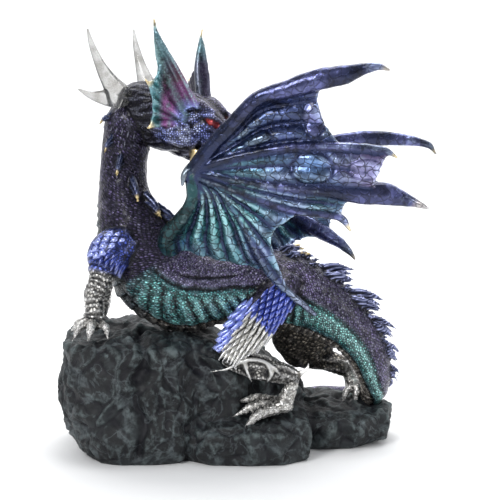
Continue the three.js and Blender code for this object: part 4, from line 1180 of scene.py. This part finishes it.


# %% [markdown]
# ## Paint on stone
# The rock is painted black, then dry-brushed once over what stands out, in blue grey to green grey as a smoky
# noise says; the strokes are partly that paint and partly a painted highlight, and the hollows get painted
# shade. The brush skips, so noise breaks its strokes. Thin pale veins wander over it. It stays matt beside
# the pearl.

# %% Rock paint
def stone_paint():
    pot = Pot("stone_paint", {"Specular IOR Level": 0.4})
    raised = pot.stored("raised")
    skip, smoke = pot.noise(5, 8, Roughness=0.7), pot.noise(17, 7, Distortion=1.2)
    base = pot.mix(skip, tint(0.002, 0.0025, 0.0035), tint(0.009, 0.011, 0.013))
    base = pot.coat(base, tint(0.018, 0.023, 0.026), smoke, 0.52, 0.68)
    # The hollows are darkened: painted shade.
    base = pot.coat(base, WASH_AND_PAINTED_SHADE, raised, -0.8, 0.1, 0.85, 0)
    # The dry brush on what stands out is partly grey paint and partly a painted highlight.
    stroke = pot.times(pot.span(raised, 0.32, 1.15), pot.span(skip, 0.42, 0.6))
    colour = pot.mix(stroke, base, pot.mix(smoke, tint(0.07, 0.095, 0.105), tint(0.12, 0.15, 0.145)))
    for size, width in ((30, 0.035), (16, 0.02)):
        vein = pot.math("ABSOLUTE", pot.math("SUBTRACT", pot.noise(size, 5, Distortion=0.8), 0.5))
        thin = pot.times(pot.span(vein, 0, width, 0.4, 0), pot.span(skip, 0.35, 0.55))
        colour = pot.mix(thin, colour, tint(0.14, 0.17, 0.18))
    return pot.finish(colour, pot.span(skip, 0.3, 0.7, 0.7, 0.42), pot.bump(skip, 0.8, 0.9))


# %% [markdown]
# ## Clear resin
# The horns are cast in clear resin with a frosted skin. A see-through shader passes light and bends it. The
# clearness is a plain number on the shader, the same all over; only the frosting and its tiny waves vary.

# %% Horn resin
def clear_resin():
    pot = Pot("clear_resin", {"Transmission Weight": 0.92, "IOR": 1.45})
    frost = pot.noise(6, 4)
    cloud = pot.coat(tint(0.34, 0.33, 0.31), tint(0.62, 0.62, 0.61), frost, 0.35, 0.65)
    return pot.finish(cloud, pot.span(frost, 0.3, 0.7, 0.06, 0.22), pot.bump(frost, 0.35, 0.6))


# %% [markdown]
# ## Finishing
# The scales' cells are counted along the body and round it, so that they lie in slanting rows and shrink from
# the neck to the tail. The head, frills and feet have finer scales that follow no direction. Spikes, claws
# and eyes stay bare of scales. The wings are darkest on their bones and in the upper skin, where the relief
# is stored lower, so less dry brush and painted highlight and more painted shade land there.

# %% Finish the body
NECK_SCALE, BODY_SCALE, HEAD_SCALE = 2.5, 1.75, 1.3  # millimetres
line = np.linspace(-5, 600, 2000)
scale_size = NECK_SCALE - (NECK_SCALE - BODY_SCALE) * band(line, 110, 1000, 25)
counts = np.cumsum((line[1] - line[0]) / scale_size)
along_body, round_body = np.interp(arc, line, counts), angle * girth / np.interp(arc, line, scale_size)
scale_spots = np.where(
    ((on_head > 0.5) | (on_frill > 0.5) | (on_feet > 0.5))[:, None],
    dragon.corners / HEAD_SCALE,
    np.stack([along_body + round_body, along_body - round_body, 0 * arc], axis=1),
)
dragon.mesh.attributes.new("scales", "FLOAT_VECTOR", "POINT").data.foreach_set("vector", scale_spots.ravel())
smooth_parts = on_spikes + dragon.on(CLAW, EYE, RIB) + 0.7 * on_frill + 0.5 * on_feet
# The painted shadow under the head is kept bare of scales too.
note(dragon.mesh, "bare", np.clip(smooth_parts + 0.9 * on_head * (upward < -14), 0, 1))
note(dragon.mesh, "mica_glint_amount", np.clip(0.2 + on_spine * (trunk + tail), 0, 1))
dragon.dry_brush_and_painted_light("dragon_paint", scale_paint(), (2, 14), 0.3 * on_spikes)
print("the spine is", round(arc.max()), "mm long and has", round(counts[-1]), "rows of scales at most")

# %% Finish the wings
wing_material = wing_paint()
PATCHES = [((60, 160), (10, 7), HEATHER), ((33, 186), (7, 11), PLUM), ((32, 160), (10, 8), BLUEBELL)]
GILDED = (3, 5)  # the lumps of the second and fourth fingers, whose tips have the most gold
for wing, wrist in ((left_wing, LEFT_WRIST), (right_wing, RIGHT_WRIST)):
    height, mottling = wing.corners[:, 2], grain(wing.corners, 22, 2)
    reach = np.linalg.norm(wing.corners - np.array(wrist[:3]), axis=1) + 9 * mottling
    bones = wing.on(BONE, rounds=2)
    gilt = wing.on(BONE, rounds=1) * band(wing.share, 0.95, 2, 0.04)
    wing.brush(
        (np.ones(len(reach)), DEEP_SEA),
        (band(height, 0, 132, 12), LAGOON),
        (band(height, 172, 300, 10) * 0.8, NAVY),
        (band(reach, 60, 500, 22) * (0.7 + mottling), DUSK),
        (band(reach, 92, 500, 14), PURPLE * 0.8),
        (wing.on(ARM), TEAL * 0.3),
        (bones, INK),
        # The outer bones are mottled lilac, partly their paint and partly a painted highlight.
        (bones * band(reach, 60, 500, 20) * (0.6 + 1.2 * mottling), IRIS),
        (wing.on(WHIP, rounds=2) * 0.8, INDIGO),
        (wing.on(THUMB), NIGHT),
        (gilt * np.where(np.isin(wing.lump, GILDED), 0.9, 0.4), GOLD),
        *((1.3 * dome(wing.corners, centre, half, 1) * wing.on(SKIN), hue) for centre, half, hue in PATCHES),
    )
    note(wing.mesh, "bare", band(-reach, -12, 0, 10) + 0.4 * wing.on(BONE))
    upper_skin = band(height, 166, 300, 12) * band(reach, 0, 62, 12)
    shade = 0.38 * wing.on(BONE, ARM) + 0.22 * wing.on(WHIP) + 0.4 * upper_skin - 0.3 * mottling
    wing.dry_brush_and_painted_light("dragon_paint", wing_material, (2, 34), shade)
    print("the wing reaches", round(reach.max()), "mm from its wrist")

# %% Lay the leaves
leaves = Leaves()
for patch in [  # limb, shares, rows, angles, columns, length, width, colour, rise, sink
    (LEFT_THIGH, (0.42, 0.78), 6, (-1.3, 0.75), 8, 9, 2.8, PEARL, 0.07, 0.99),
    (LEFT_THIGH, (0.2, 0.42), 6, (-0.85, 0.7), 6, 6, 4.4, COBALT, 0.12, 1),
    (LEFT_THIGH, (0.34, 0.74), 6, (0.85, 1.6), 3, 9, 5, PERIWINKLE, 0.12, 1),
    (RIGHT_THIGH, (0.1, 0.5), 7, (-2.2, -0.9), 6, 6.4, 4.6, COBALT, 0.1, 1),
    (LEFT_FORELEG, (0.06, 0.2), 4, (-1.9, -0.2), 6, 6, 3.6, COBALT * 0.7, 0.03, 0.97),
    (LEFT_FORELEG, (0.04, 0.19), 6, (0.1, 0.55), 2, 4.4, 7.5, CORNFLOWER, 0.06, 0.97),
    (RIGHT_FORELEG, (0.06, 0.27), 5, (-1.6, 1.6), 8, 7, 3.6, COBALT, 0.05, 0.96),
    (SPINE, (0.03, 0.075), 3, (-2.6, 2.6), 20, 5.5, 2.8, NIGHT, 0.14, 0.93),
]:
    leaves.lay(*patch)
leaves.piece("leaf_scales", leaf_paint())

# %% Finish the rock and the horns
note(rock.data, "raised", relief_of(rock.data, (3, 24)))
rock.data.materials.append(stone_paint())
stand_for(rock, "rock", "rock_base")
resin = clear_resin()
for name, horn in horns:
    horn.mesh.materials.append(resin)
    stand_for(horn.piece, "clear_horn", name)
print("dressed the rock and", len(horns), "horns")
